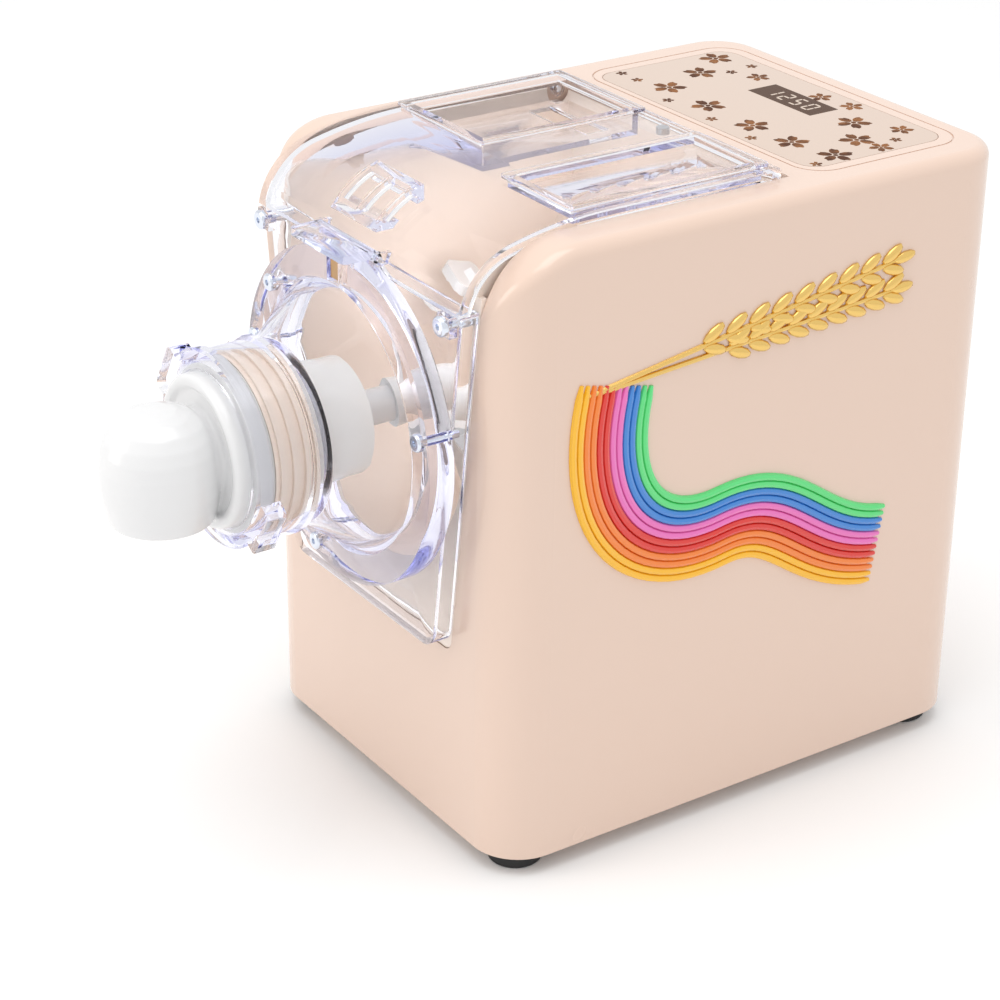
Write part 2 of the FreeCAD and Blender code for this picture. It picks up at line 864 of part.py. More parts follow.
def corner_screws():
    head_y = plate_front_y - boss_height
    length = plate_rear_y - head_y
    return Part.makeCompound([pan_screw(side * boss_x(), boss_z(), head_y, screw_head + corner_screw_extra, length)
                              for side in (-1, 1)])


# Extruder end

def auger_sleeve():
    return tube_y(sleeve_radius, sleeve_radius - sleeve_wall, bulkhead_front_y, sleeve_rear_y)


def threaded_insert():
    insert = tube_y(insert_radius, insert_bore, insert_front_y, bulkhead_front_y)
    for i in range(thread_ribs):
        y = insert_front_y + thread_lead + i * thread_pitch
        insert = insert.fuse(tube_y(thread_radius, insert_radius - past, y, y + thread_width))
    return insert.removeSplitter()


def lock_nut():
    nut = revolved([
        (nut_bore, nut_rear_y),
        (nut_radius, nut_rear_y),
        (nut_radius, nut_rear_y - nut_rear_band),
        (nut_body_radius, nut_rear_y - nut_rear_band - nut_edge),
        (nut_body_radius, nut_front_y + nut_front_band + nut_edge),
        (nut_radius, nut_front_y + nut_front_band),
        (nut_radius, nut_front_y + nut_edge),
        (nut_radius - nut_edge, nut_front_y),
        (nut_lip_radius, nut_front_y),
        (nut_lip_radius, nut_front_y + nut_lip),
        (nut_bore, nut_front_y + nut_lip),
    ])
    for angle in nut_lug_angles:
        lug = box(nut_body_radius - nut_edge, nut_radius + nut_lug_reach,
                  nut_front_y, nut_front_y + nut_lug_length,
                  axis_z - nut_lug_width / 2, axis_z + nut_lug_width / 2)
        lug = rounded(lug, nut_lug_corner, lambda b: along_y(nut_lug_length - tiny)(b) and b.XMax > nut_radius)
        lug.rotate(Vector(0, 0, axis_z), Vector(0, 1, 0), -angle)
        nut = nut.fuse(lug.cut(cylinder_y(nut_bore, 0, axis_z, nut_front_y - past, nut_rear_y)))
    return nut.removeSplitter()


def die_elbow():
    groove_floor = die_front_y + die_rim_height
    rim_inner = die_flange_radius - die_rim_width
    flange = cylinder_y(die_flange_radius, 0, axis_z, die_front_y, die_rear_y)
    flange = flange.cut(cylinder_y(rim_inner, 0, axis_z, die_front_y - past, groove_floor))
    neck = cylinder_y(die_neck_radius, 0, axis_z, elbow_y, groove_floor + past)
    dome = Part.makeSphere(elbow_radius, Vector(0, elbow_y, axis_z))
    spout = cylinder_z(spout_radius, 0, elbow_y, spout_low_z, axis_z)
    reach = 2 * elbow_radius
    dome = dome.common(box(-reach, reach, elbow_y - reach, elbow_y + reach,
                           spout_low_z + spout_lip, axis_z + reach))
    elbow = flange.fuse(neck).fuse(dome).fuse(spout)
    bore = cylinder_y(die_bore, 0, axis_z, elbow_y, die_rear_y + past)
    bend = Part.makeSphere(die_bore, Vector(0, elbow_y, axis_z))
    outlet = cylinder_z(spout_bore, 0, elbow_y, spout_low_z - past, axis_z)
    seat = cylinder_z(die_plate_radius + run_fit, 0, elbow_y, spout_low_z - past, spout_low_z + die_plate_thick)
    return cut_all(elbow, [bore, bend, outlet, seat]).removeSplitter()


def die_plate():
    plate = cylinder_z(die_plate_radius, 0, elbow_y, spout_low_z, spout_low_z + die_plate_thick)
    row_step = die_hole_pitch * math.sqrt(0.75)
    reach = spout_bore - die_hole_radius - die_hole_margin
    holes = []
    for row in range(-3, 4):
        for column in range(-4, 5):
            x = (column + (row % 2) * 0.5) * die_hole_pitch
            y = row * row_step
            if math.hypot(x, y) < reach:
                holes.append(cylinder_z(die_hole_radius, x, elbow_y + y, spout_low_z - past,
                                        spout_low_z + die_plate_thick + past))
    return plate.cut(Part.makeCompound(holes))


def die_gasket():
    return tube_y(die_flange_radius - die_rim_width / 2, insert_bore + past, die_rear_y, die_rear_y + gasket_thick)


# Mixer and drive

def mixer_shaft():
    return cylinder_y(shaft_radius, 0, axis_z, bowl_rear_y - shaft_socket, gearbox_rear_y)


def shaft_seal():
    return tube_y(hub_radius + seal_width - run_fit, shaft_radius + run_fit, bowl_rear_y - bowl_wall, bowl_rear_y)


def auger_screw():
    rear = bowl_rear_y - bowl_wall - hub_clearance
    core = cylinder_y(auger_core, 0, axis_z, auger_front_y, rear - core_overlap)
    hub = cylinder_y(hub_radius, 0, axis_z, paddle_stations[0] - hub_front, rear)
    tip = Part.makeCone(auger_tip_radius, auger_core, auger_tip_length,
                        Vector(0, auger_front_y - auger_tip_length, axis_z), Vector(0, 1, 0))
    flight = auger_helix()
    socket = cylinder_y(shaft_radius, 0, axis_z, bowl_rear_y - shaft_socket, rear + past)
    body = core.fuse(hub).fuse(tip).fuse(flight)
    for i, y in enumerate(paddle_stations):
        body = body.fuse(paddle(y, i * paddle_turn))
    return body.cut(socket)


def auger_helix():
    length = auger_rear_y - auger_front_y
    helix = Part.makeHelix(auger_pitch, length, auger_core)
    inner = auger_core - auger_root
    low, high = -auger_flight / 2, auger_flight / 2
    profile = Part.makePolygon([
        Vector(inner, 0, low), Vector(auger_radius, 0, low + auger_edge_taper),
        Vector(auger_radius, 0, high - auger_edge_taper),
        Vector(inner, 0, high), Vector(inner, 0, low),
    ])
    flight = Part.Wire(helix).makePipeShell([profile], True, True)
    flight.rotate(Vector(0, 0, 0), Vector(1, 0, 0), -90)
    flight.translate(Vector(0, auger_front_y, axis_z))
    return flight


def paddle(y, degrees):
    half = paddle_thick / 2
    tip = paddle_reach - paddle_tip_gap
    arm = box(hub_radius - auger_root, paddle_reach - paddle_arm_end, y - half, y + half, axis_z - half, axis_z + half)
    blade = box(tip - paddle_blade_length, tip, y - paddle_width, y + paddle_width,
                axis_z - paddle_blade_half, axis_z + paddle_blade_half)
    blade = rounded(blade, paddle_corner, upright(2 * paddle_blade_half - tiny))
    blade.rotate(Vector(paddle_reach - paddle_pitch_centre, y, axis_z), Vector(1, 0, 0), paddle_pitch_angle)
    whole = arm.fuse(blade)
    whole.rotate(Vector(0, 0, axis_z), Vector(0, 1, 0), degrees)
    return whole


def gear(teeth, module, face, z, tooth_at, bore):
    """A spur gear about the Y axis with straight-flanked teeth and a small backlash."""
    pitch = module * teeth / 2
    tip = pitch + addendum * module
    root = pitch - dedendum * module
    step = 2 * math.pi / teeth
    points = []
    for i in range(teeth):
        centre = math.radians(tooth_at) + i * step
        for radius, share in ((root, -root_share), (tip, -tip_share), (tip, tip_share), (root, root_share)):
            angle = centre + share * step
            points.append(Vector(radius * math.cos(angle), face[0], z + radius * math.sin(angle)))
    wheel = Part.Face(Part.makePolygon(points + [points[0]])).extrude(Vector(0, face[1] - face[0], 0))
    return wheel.cut(cylinder_y(bore, 0, z, face[0] - past, face[1] + past))


def output_gear():
    blank = gear(output_teeth, coarse_module, coarse_face, axis_z, 270.0 + 180.0 / output_teeth, shaft_radius)
    pockets = []
    step = 360.0 / pocket_count
    for i in range(pocket_count):
        x, z = on_circle(pocket_circle, step / 2 + i * step)
        pockets.append(cylinder_y(pocket_radius, x, z, coarse_face[0] - past, coarse_face[1] + past))
    return cut_all(blank, pockets)


def layshaft_wheel():
    return gear(wheel_teeth, fine_module, fine_face, layshaft_z, 270.0 + 180.0 / wheel_teeth, layshaft_radius)


def layshaft_pinion():
    front = fine_face[1]
    sleeve = tube_y(wheel_hub, layshaft_radius, front, coarse_face[0], 0, layshaft_z)
    teeth = gear(layshaft_teeth, coarse_module, coarse_face, layshaft_z, 90.0, layshaft_radius)
    return teeth.fuse(sleeve).removeSplitter()


def motor_pinion():
    return gear(pinion_teeth, fine_module, fine_face, motor_z, 90.0, motor_shaft_radius)


def gearbox_plate_solid(y0):
    plate = box(-gearbox_half, gearbox_half, y0, y0 + gearbox_plate, base_top, gearbox_top)
    plate = rounded(plate, gearbox_corner, lambda b: along_y(gearbox_plate - tiny)(b) and b.ZMax > gearbox_top - past)
    plate = plate.cut(cylinder_y(bearing_radius + run_fit, 0, axis_z, y0 - past, y0 + gearbox_plate + past))
    return plate.cut(cylinder_y(small_bearing + run_fit, 0, layshaft_z, y0 - past, y0 + gearbox_plate + past))


def gearbox_front():
    plate = gearbox_plate_solid(gearbox_front_y)
    return plate.cut(cylinder_y(motor_shaft_radius + seal_land, 0, motor_z, gearbox_front_y - past,
                                gearbox_front_y + gearbox_plate + past))


def gearbox_rear():
    return gearbox_plate_solid(gearbox_rear_y - gearbox_plate)


def gearbox_pillars():
    y0 = gearbox_front_y + gearbox_plate
    y1 = gearbox_rear_y - gearbox_plate
    return Part.makeCompound([cylinder_y(pillar_radius, side * pillar_x, z, y0, y1)
                              for side in (-1, 1) for z in pillar_z])


def main_bearings():
    y0, y1 = gearbox_front_y, gearbox_rear_y - gearbox_plate
    return Part.makeCompound([tube_y(bearing_radius, shaft_radius + run_fit, y, y + gearbox_plate)
                              for y in (y0, y1)])


def layshaft_bushes():
    y0, y1 = gearbox_front_y, gearbox_rear_y - gearbox_plate
    return Part.makeCompound([tube_y(small_bearing, layshaft_radius + run_fit, y, y + gearbox_plate, 0, layshaft_z)
                              for y in (y0, y1)])


def layshaft():
    return cylinder_y(layshaft_radius, 0, layshaft_z, gearbox_front_y + shaft_end_gap,
                      gearbox_rear_y - shaft_end_gap)


def motor_rear_y():
    return gearbox_front_y


def motor_front_y():
    return motor_rear_y() - motor_length


def motor_case():
    y0, y1 = motor_front_y(), motor_rear_y()
    bearing = motor_shaft_radius + motor_bearing_wall
    case = tube_y(motor_radius, motor_radius - motor_wall, y0 + motor_cap, y1, 0, motor_z)
    cap = tube_y(motor_radius, bearing, y0, y0 + motor_cap, 0, motor_z)
    rear = tube_y(motor_radius - motor_rear_step, bearing, y1 - motor_cap, y1, 0, motor_z)
    return fused([case, cap, rear])


def motor_bearings():
    y0, y1 = motor_front_y(), motor_rear_y()
    outer = motor_shaft_radius + motor_bearing_wall
    return Part.makeCompound([tube_y(outer, motor_shaft_radius + run_fit, y, y + motor_cap, 0, motor_z)
                              for y in (y0, y1 - motor_cap)])


def motor_rotor():
    middle = (motor_front_y() + motor_rear_y()) / 2
    core = cylinder_y(motor_radius - motor_wall - rotor_gap, 0, motor_z,
                      middle - rotor_length / 2, middle + rotor_length / 2)
    shaft = cylinder_y(motor_shaft_radius, 0, motor_z, motor_front_y() - fan_width - fan_shaft_over,
                       fine_face[1] + past)
    return core.fuse(shaft)


def cooling_fan():
    y1 = motor_front_y() - fan_gap
    y0 = y1 - fan_width
    disc = tube_y(fan_radius, motor_shaft_radius, y1 - fan_disc, y1, 0, motor_z)
    hub = tube_y(motor_shaft_radius + fan_hub_wall, motor_shaft_radius, y0, y1, 0, motor_z)
    fan = disc.fuse(hub)
    for i in range(fan_blades):
        blade = box(motor_shaft_radius + fan_hub_wall / 2, fan_radius - fan_disc / 2, y0, y1 - fan_disc / 2,
                    motor_z - fan_blade_half, motor_z + fan_blade_half)
        blade.rotate(Vector(0, 0, motor_z), Vector(0, 1, 0), i * 360.0 / fan_blades)
        fan = fan.fuse(blade)
    return fan.removeSplitter()


# Lid

def lid_shell():
    band = lid_layer(0, lid_band, lid_half_width)
    inner = lid_layer(lid_plate, lid_band + past, lid_half_width - lid_plate)
    rear_wall = box(-lid_half_width, lid_half_width, lid_rear - lid_plate, lid_rear,
                    lid_top - lid_band, lid_top)
    lid = band.cut(inner).fuse(rear_wall).removeSplitter()
    lid = rounded(lid, lid_rear_round, lambda b: b.XLength > lid_half_width and b.YMin > lid_rear - tiny
                  and b.ZMin > lid_top - tiny)
    for side in (-1, 1):
        x0, x1 = sorted((side * lid_half_width, side * (lid_half_width - lid_plate)))
        lid = lid.fuse(cylinder_x(lid_ear_radius, lid_hinge_y, lid_hinge_z, x0, x1))
        web = box(x0, x1, lid_hinge_y - lid_ear_radius, lid_rear - seat_gap, lid_hinge_z, lid_top - lid_ear_drop)
        lid = lid.fuse(web)
    lid = lid.cut(cylinder_x(lid_hinge_radius + run_fit, lid_hinge_y, lid_hinge_z, -half_width, half_width))
    for xs, ys in ((hopper_x, hopper_y), (tray_x, tray_y)):
        lid = lid.cut(box(xs[0], xs[1], ys[0], ys[1], lid_top - lid_pocket_cut, lid_top + past))
    for side in (-1, 1):
        x0, x1 = sorted((side * (latch_half + seat_gap), side * (latch_half + seat_gap + latch_ear)))
        ear = cylinder_x(latch_barrel + latch_ear_wall, latch_y, latch_z, x0, x1)
        web = box(x0, x1, latch_y, latch_y + latch_web_length, latch_z - latch_web_half, latch_z + latch_web_half)
        lid = lid.fuse(ear).fuse(web.cut(under_lid(lid_plate / 2)))
    lid = lid.cut(cylinder_x(latch_pin_radius + run_fit, latch_y, latch_z, -half_width, half_width))
    lid = lid.cut(cylinder_y(flange_radius + 2 * seat_gap, 0, axis_z, flange_front_y, plate_rear_y))
    return lid.removeSplitter()


def tray(xs, ys, depth, floor_cuts):
    """A tray dropped into the lid: a raised rim, walls and a floor with its openings."""
    x0, x1, y0, y1 = xs[0], xs[1], ys[0], ys[1]
    gap = run_fit
    wall_out = box(x0 + gap, x1 - gap, y0 + gap, y1 - gap, lid_top - depth, lid_top)
    rim = box(x0 - rim_width, x1 + rim_width, y0 - rim_width, y1 + rim_width, lid_top, lid_top + rim_height)
    rim = rounded(rim, rim_corner, upright(rim_height - tiny))
    room = box(x0 + hopper_wall, x1 - hopper_wall, y0 + hopper_wall, y1 - hopper_wall,
               lid_top - depth + hopper_wall, lid_top + rim_height + past)
    return cut_all(wall_out.fuse(rim).removeSplitter(), [room] + floor_cuts)


def fill_hopper():
    mid_x = (hopper_x[0] + hopper_x[1]) / 2
    rear = hopper_y[1] - hopper_wall - slot_inset
    slot = box(mid_x - hopper_slot[0] / 2, mid_x + hopper_slot[0] / 2, rear - hopper_slot[1], rear,
               lid_top - hopper_depth - past, lid_top - hopper_depth + hopper_wall + past)
    return tray(hopper_x, hopper_y, hopper_depth, [slot])


def water_tray():
    mid_x = (tray_x[0] + tray_x[1]) / 2
    holes = []
    step = (tray_y[1] - tray_y[0] - 2 * tray_hole_inset) / (tray_hole_count - 1)
    for i in range(tray_hole_count):
        y = tray_y[0] + tray_hole_inset + i * step
        holes.append(cylinder_z(tray_hole_radius, mid_x, y, lid_top - tray_depth - past, lid_top))
    return tray(tray_x, tray_y, tray_depth, holes)


def lid_handle():
    outer = handle_stand_off + handle_plate
    front = -lid_flat_start
    top = lid_top + outer + past
    band = lid_layer(-outer, -handle_stand_off, handle_half)
    band = band.common(box(-half_width, half_width, front, handle_high_y, handle_low_z, top))
    for side in (-1, 1):
        x0, x1 = sorted((side * handle_rib / 2, side * (handle_half - handle_rib)))
        band = band.cut(box(x0, x1, front, handle_high_y - handle_rib, handle_low_z + handle_window_rise, top))
    block = lid_layer(-outer + handle_foot_inset, 0, handle_half)
    top_foot = block.common(box(-half_width, half_width, handle_high_y - handle_foot, handle_high_y,
                                handle_low_z, top))
    low_foot = block.common(box(-half_width, half_width, front, handle_high_y,
                                handle_low_z, handle_low_z + handle_sill))
    return fused([band, top_foot, low_foot])


def latch_tab():
    y0 = latch_y - latch_reach
    plate = box(-latch_half, latch_half, y0, latch_y, latch_z - latch_under, latch_z + latch_plate)
    plate = rounded(plate, latch_corner, lambda b: upright(latch_plate)(b) and b.YMax < y0 + past)
    barrel = cylinder_x(latch_barrel, latch_y, latch_z, -latch_half, latch_half)
    tab = plate.fuse(barrel)
    tab = tab.cut(cylinder_x(latch_pin_radius + run_fit, latch_y, latch_z, -half_width, half_width))
    return tab.removeSplitter()


def latch_hook():
    y0 = latch_y - hook_set_back
    low = latch_z - hook_drop
    stem = box(-hook_half, hook_half, y0, y0 + hook_thick, low, latch_z - latch_under)
    toe = box(-hook_half, hook_half, y0, y0 + hook_toe, low, low + hook_thick)
    return stem.fuse(toe).removeSplitter()


def latch_pin():
    reach = latch_half + seat_gap + latch_ear
    return cylinder_x(latch_pin_radius, latch_y, latch_z, -reach, reach)


def lid_hinge_pins():
    inner = lid_half_width - lid_plate
    outer = well_half_top + hinge_pin_reach
    spans = (sorted((side * inner, side * outer)) for side in (-1, 1))
    return Part.makeCompound([cylinder_x(lid_hinge_radius, lid_hinge_y, lid_hinge_z, x0, x1) for x0, x1 in spans])


def lid_magnet():
    x = (hopper_x[1] + tray_x[0]) / 2
    return cylinder_z(magnet_radius, x, lid_rear - magnet_inset, lid_top - lid_plate - magnet_thick,
                      lid_top - lid_plate)


def build():
    export(housing_shell(), "housing_shell")
    export(base_plate(), "base_plate")
    names = ("foot_front_left", "foot_front_right", "foot_rear_left", "foot_rear_right")
    for name, place in zip(names, foot_places()):
        export(foot(*place), name)
    export(Part.makeCompound([foot_screw(*place) for place in foot_places()]), "foot_screws")
    export(control_film(), "control_film")
    export(control_board(), "control_board")
    export(display_module(), "display_module")
    export(reed_switch(), "reed_switch")
    export(power_board(), "power_board")
    export(power_components(), "power_components")
    export(mains_inlet(), "mains_inlet")
    export(inlet_pins(), "inlet_pins")
    export(mixing_bowl(), "mixing_bowl")
    export(front_plate(), "front_plate")
    export(outlet_barrel(), "outlet_barrel")
    export(flange_screws(), "flange_screws")
    export(corner_screws(), "corner_screws")
    export(auger_sleeve(), "auger_sleeve")
    export(threaded_insert(), "threaded_insert")
    export(lock_nut(), "lock_nut")
    export(die_elbow(), "die_elbow")
    export(die_plate(), "die_plate")
    export(die_gasket(), "die_gasket")
    export(mixer_shaft(), "mixer_shaft")
    export(shaft_seal(), "shaft_seal")
    export(auger_screw(), "auger_screw")
    export(output_gear(), "output_gear")
    export(layshaft(), "layshaft")
    export(layshaft_wheel(), "layshaft_wheel")
    export(layshaft_pinion(), "layshaft_pinion")
    export(layshaft_bushes(), "layshaft_bushes")
    export(main_bearings(), "main_bearings")
    export(gearbox_front(), "gearbox_front_plate")
    export(gearbox_rear(), "gearbox_rear_plate")
    export(gearbox_pillars(), "gearbox_pillars")
    export(motor_case(), "motor_case")
    export(motor_bearings(), "motor_bearings")
    export(motor_rotor(), "motor_rotor")
    export(motor_pinion(), "motor_pinion")
    export(cooling_fan(), "cooling_fan")
    export(lid_shell(), "lid_shell")
    export(fill_hopper(), "fill_hopper")
    export(water_tray(), "water_tray")
    export(lid_handle(), "lid_handle")
    export(latch_tab(), "latch_tab")
    export(latch_hook(), "latch_hook")
    export(latch_pin(), "latch_pin")
    export(lid_hinge_pins(), "lid_hinge_pins")
    export(lid_magnet(), "lid_magnet")
    print(node_count, "pieces")


build()
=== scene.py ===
# %% [markdown]
# # Dressing an electric pasta maker
# The machine arrives as a frame of finished solids. This lesson gives every one
# of them its surface, and adds what the solids leave out: prints, relief,
# rounded edges and small marks. We start by loading the frame.

# %% Load the frame
import json
import math
import bmesh
import bpy
from mathutils import Matrix, Vector


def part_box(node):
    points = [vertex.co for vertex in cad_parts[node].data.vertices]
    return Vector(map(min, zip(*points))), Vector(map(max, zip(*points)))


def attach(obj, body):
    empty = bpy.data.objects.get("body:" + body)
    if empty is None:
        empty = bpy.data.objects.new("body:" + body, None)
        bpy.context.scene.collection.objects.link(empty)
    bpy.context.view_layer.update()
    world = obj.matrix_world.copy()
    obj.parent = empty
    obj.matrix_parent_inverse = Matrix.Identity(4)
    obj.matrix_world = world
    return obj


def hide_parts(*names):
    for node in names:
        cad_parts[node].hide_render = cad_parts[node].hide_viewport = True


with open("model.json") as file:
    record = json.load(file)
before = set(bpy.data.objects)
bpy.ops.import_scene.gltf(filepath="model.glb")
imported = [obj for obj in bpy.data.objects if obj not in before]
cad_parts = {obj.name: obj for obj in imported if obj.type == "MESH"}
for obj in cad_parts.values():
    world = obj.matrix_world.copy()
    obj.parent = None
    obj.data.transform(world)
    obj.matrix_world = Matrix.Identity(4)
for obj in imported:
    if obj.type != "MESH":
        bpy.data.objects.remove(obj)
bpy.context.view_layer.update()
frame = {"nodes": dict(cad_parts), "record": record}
MM = 0.001
nodes = frame["nodes"]
print(len(nodes), "solids loaded")

# %% [markdown]
# Places below are measured from the frame where they can be. The housing's box
# gives the faces that prints sit on, and the mixer's joint has its axis at one given height.

# %% Reference places
house_low, house_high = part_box("housing_shell")
film_low, film_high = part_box("control_film")
AXIS_Z = 0.192
SIDE_X = house_high.x
FRONT_Y = house_low.y
print("side at", round(SIDE_X, 4), "front at", round(FRONT_Y, 4))

# %% [markdown]
# ## Camera and light
# A product photograph uses a long lens from some way off. The angles here are
# the compass angle round the machine, the height above the horizon and a small
# roll. Soft light comes from a bright room, a large overhead panel and a warm
# one in front. A faint lamp inside the bowl makes up for what the clear lid keeps
# out, as a retoucher would.

# %% The camera
AROUND = math.radians(55.564)
ABOVE = math.radians(26.362)
ROLL = math.radians(0.634)
LENS_MM = 95.97
SENSOR_MM = 36.0
EYE = Vector((0.89146, FRONT_Y - 0.54653, 0.66495))
FAR_CLIP = 20.0
LIGHT_BOUNCES = 24
GLOSS_BOUNCES = 16


def view_axes(around, above, roll):
    """The camera's right, up and backward directions."""
    level = math.cos(above)
    back = Vector((math.sin(around) * level, -math.cos(around) * level, math.sin(above)))
    right = (-back).cross(Vector((0, 0, 1))).normalized()
    up = right.cross(-back)
    rolled = right * math.cos(roll) + up * math.sin(roll)
    return rolled, up * math.cos(roll) - right * math.sin(roll), back


def add_camera():
    data = bpy.data.cameras.new("studio_camera")
    data.lens = LENS_MM
    data.sensor_width = SENSOR_MM
    data.clip_end = FAR_CLIP
    camera = bpy.data.objects.new("studio_camera", data)
    right, up, back = view_axes(AROUND, ABOVE, ROLL)
    turn = Matrix((right, up, back)).transposed().to_4x4()
    camera.matrix_world = Matrix.Translation(EYE) @ turn
    bpy.context.scene.collection.objects.link(camera)
    bpy.context.scene.camera = camera


add_camera()
bpy.context.scene.view_settings.view_transform = "Standard"
bpy.context.scene.cycles.max_bounces = LIGHT_BOUNCES
bpy.context.scene.cycles.transmission_bounces = LIGHT_BOUNCES
bpy.context.scene.cycles.glossy_bounces = GLOSS_BOUNCES
print("camera at", tuple(round(v, 3) for v in EYE))

# %% Floor and room
FLOOR_SIZE = 9.0
FLOOR_WHITE = 0.94
FLOOR_ROUGHNESS = 0.6
FLOOR_SHEEN = 0.1
ROOM_STRENGTH = 0.95


def add_floor():
    mesh = bpy.data.meshes.new("studio_floor")
    bm = bmesh.new()
    bmesh.ops.create_grid(bm, x_segments=1, y_segments=1, size=FLOOR_SIZE / 2)
    bm.to_mesh(mesh)
    bm.free()
    floor = bpy.data.objects.new("studio_floor", mesh)
    bpy.context.scene.collection.objects.link(floor)
    material = bpy.data.materials.new("pale_floor")
    material.use_nodes = True
    shader = material.node_tree.nodes["Principled BSDF"]
    shader.inputs["Base Color"].default_value = (FLOOR_WHITE, FLOOR_WHITE, FLOOR_WHITE, 1)
    shader.inputs["Roughness"].default_value = FLOOR_ROUGHNESS
    shader.inputs["Specular IOR Level"].default_value = FLOOR_SHEEN
    mesh.materials.append(material)


def add_room(strength):
    world = bpy.data.worlds.new("studio_room")
    world.use_nodes = True
    shade = world.node_tree.nodes["Background"]
    shade.inputs["Color"].default_value = (1, 1, 1, 1)
    shade.inputs["Strength"].default_value = strength
    bpy.context.scene.world = world


add_floor()
add_room(ROOM_STRENGTH)
print("floor and room made")

# %% Lamps
MACHINE_MIDDLE = (0, 0, 0.15)
MACHINE_FRONT = (0, -0.1, 0.15)
BOWL_MIDDLE = (0, FRONT_Y + 0.075, 0.236)
WARM = (1.0, 0.96, 0.91)


def add_panel(name, place, aim, size, watts, colour=(1, 1, 1)):
    """A soft rectangular lamp at a place, turned towards a point."""
    data = bpy.data.lights.new(name, "AREA")
    data.shape = "RECTANGLE"
    data.size = size[0]
    data.size_y = size[1]
    data.energy = watts
    data.color = colour
    lamp = bpy.data.objects.new(name, data)
    direction = Vector(aim) - Vector(place)
    turn = direction.to_track_quat("-Z", "Y").to_matrix().to_4x4()
    lamp.matrix_world = Matrix.Translation(place) @ turn
    bpy.context.scene.collection.objects.link(lamp)


def add_fill_lamp(name, place, radius, watts):
    """A small soft ball of light that lights a chamber and is itself never seen."""
    data = bpy.data.lights.new(name, "POINT")
    data.shadow_soft_size = radius
    data.energy = watts
    lamp = bpy.data.objects.new(name, data)
    lamp.location = place
    lamp.visible_camera = False
    lamp.visible_glossy = False
    lamp.visible_transmission = False
    bpy.context.scene.collection.objects.link(lamp)


add_panel("overhead_panel", place=(0.1, -0.2, 1.6), aim=MACHINE_MIDDLE, size=(1.2, 1.2), watts=9.0)
add_panel("front_panel", place=(-0.7, -1.5, 0.7), aim=MACHINE_FRONT, size=(0.8, 1.0), watts=4.8,
          colour=WARM)
add_fill_lamp("bowl_fill", place=BOWL_MIDDLE, radius=0.03, watts=0.08)
print("studio lit")

# %% [markdown]
# ## Materials
# A moulded surface is never perfectly even: it has a faint orange-peel ripple
# and its gloss drifts a little. One node group holds that ripple and that drift,
# and each plastic and metal uses it with its own scale and depth. The shader
# itself stays in each material.

# %% A group for moulded skins
RIPPLE_DETAIL = 2.0
CLOUD_SCALE = 14.0
CLOUD_DETAIL = 3.0
NOISE_MIDDLE = 0.5
BUMP_STRENGTH = 0.6


def mould_group():
    """Inputs: Scale, Gloss, Drift. Outputs: Roughness and Height."""
    group = bpy.data.node_groups.new("moulded_skin", "ShaderNodeTree")
    for name, value in (("Scale", 400.0), ("Gloss", 0.2), ("Drift", 0.05)):
        socket = group.interface.new_socket(name, in_out="INPUT", socket_type="NodeSocketFloat")
        socket.default_value = value
    for name in ("Roughness", "Height"):
        group.interface.new_socket(name, in_out="OUTPUT", socket_type="NodeSocketFloat")
    inside = group.nodes
    enter = inside.new("NodeGroupInput")
    leave = inside.new("NodeGroupOutput")
    place = inside.new("ShaderNodeTexCoord")
    ripple = inside.new("ShaderNodeTexNoise")
    ripple.inputs["Detail"].default_value = RIPPLE_DETAIL
    cloud = inside.new("ShaderNodeTexNoise")
    cloud.inputs["Scale"].default_value = CLOUD_SCALE
    cloud.inputs["Detail"].default_value = CLOUD_DETAIL
    centred = inside.new("ShaderNodeMath")
    centred.operation = "SUBTRACT"
    centred.inputs[1].default_value = NOISE_MIDDLE
    drift = inside.new("ShaderNodeMath")
    drift.operation = "MULTIPLY_ADD"
    wire = group.links.new
    wire(place.outputs["Object"], ripple.inputs["Vector"])
    wire(place.outputs["Object"], cloud.inputs["Vector"])
    wire(enter.outputs["Scale"], ripple.inputs["Scale"])
    wire(cloud.outputs["Fac"], centred.inputs[0])
    wire(centred.outputs[0], drift.inputs[0])
    wire(enter.outputs["Drift"], drift.inputs[1])
    wire(enter.outputs["Gloss"], drift.inputs[2])
    wire(drift.outputs[0], leave.inputs["Roughness"])
    wire(ripple.outputs["Fac"], leave.inputs["Height"])
    return group


MOULDED = mould_group()


def new_material(name, colour, **sockets):
    """A material with a Principled shader whose constant sockets are set directly."""
    material = bpy.data.materials.new(name)
    material.use_nodes = True
    shader = material.node_tree.nodes["Principled BSDF"]
    shader.inputs["Base Color"].default_value = (*colour, 1)
    for socket, value in sockets.items():
        shader.inputs[socket.replace("_", " ")].default_value = value
    return material, shader


def add_skin(material, shader, scale, gloss, drift, depth):
    """Adds the moulded ripple to a material, with a bump of the given depth in metres."""
    tree = material.node_tree
    skin = tree.nodes.new("ShaderNodeGroup")
    skin.node_tree = MOULDED
    skin.inputs["Scale"].default_value = scale
    skin.inputs["Gloss"].default_value = gloss
    skin.inputs["Drift"].default_value = drift
    bump = tree.nodes.new("ShaderNodeBump")
    bump.inputs["Strength"].default_value = BUMP_STRENGTH
    bump.inputs["Distance"].default_value = depth
    tree.links.new(skin.outputs["Roughness"], shader.inputs["Roughness"])
    tree.links.new(skin.outputs["Height"], bump.inputs["Height"])
    tree.links.new(bump.outputs["Normal"], shader.inputs["Normal"])


print("group ready:", MOULDED.name)
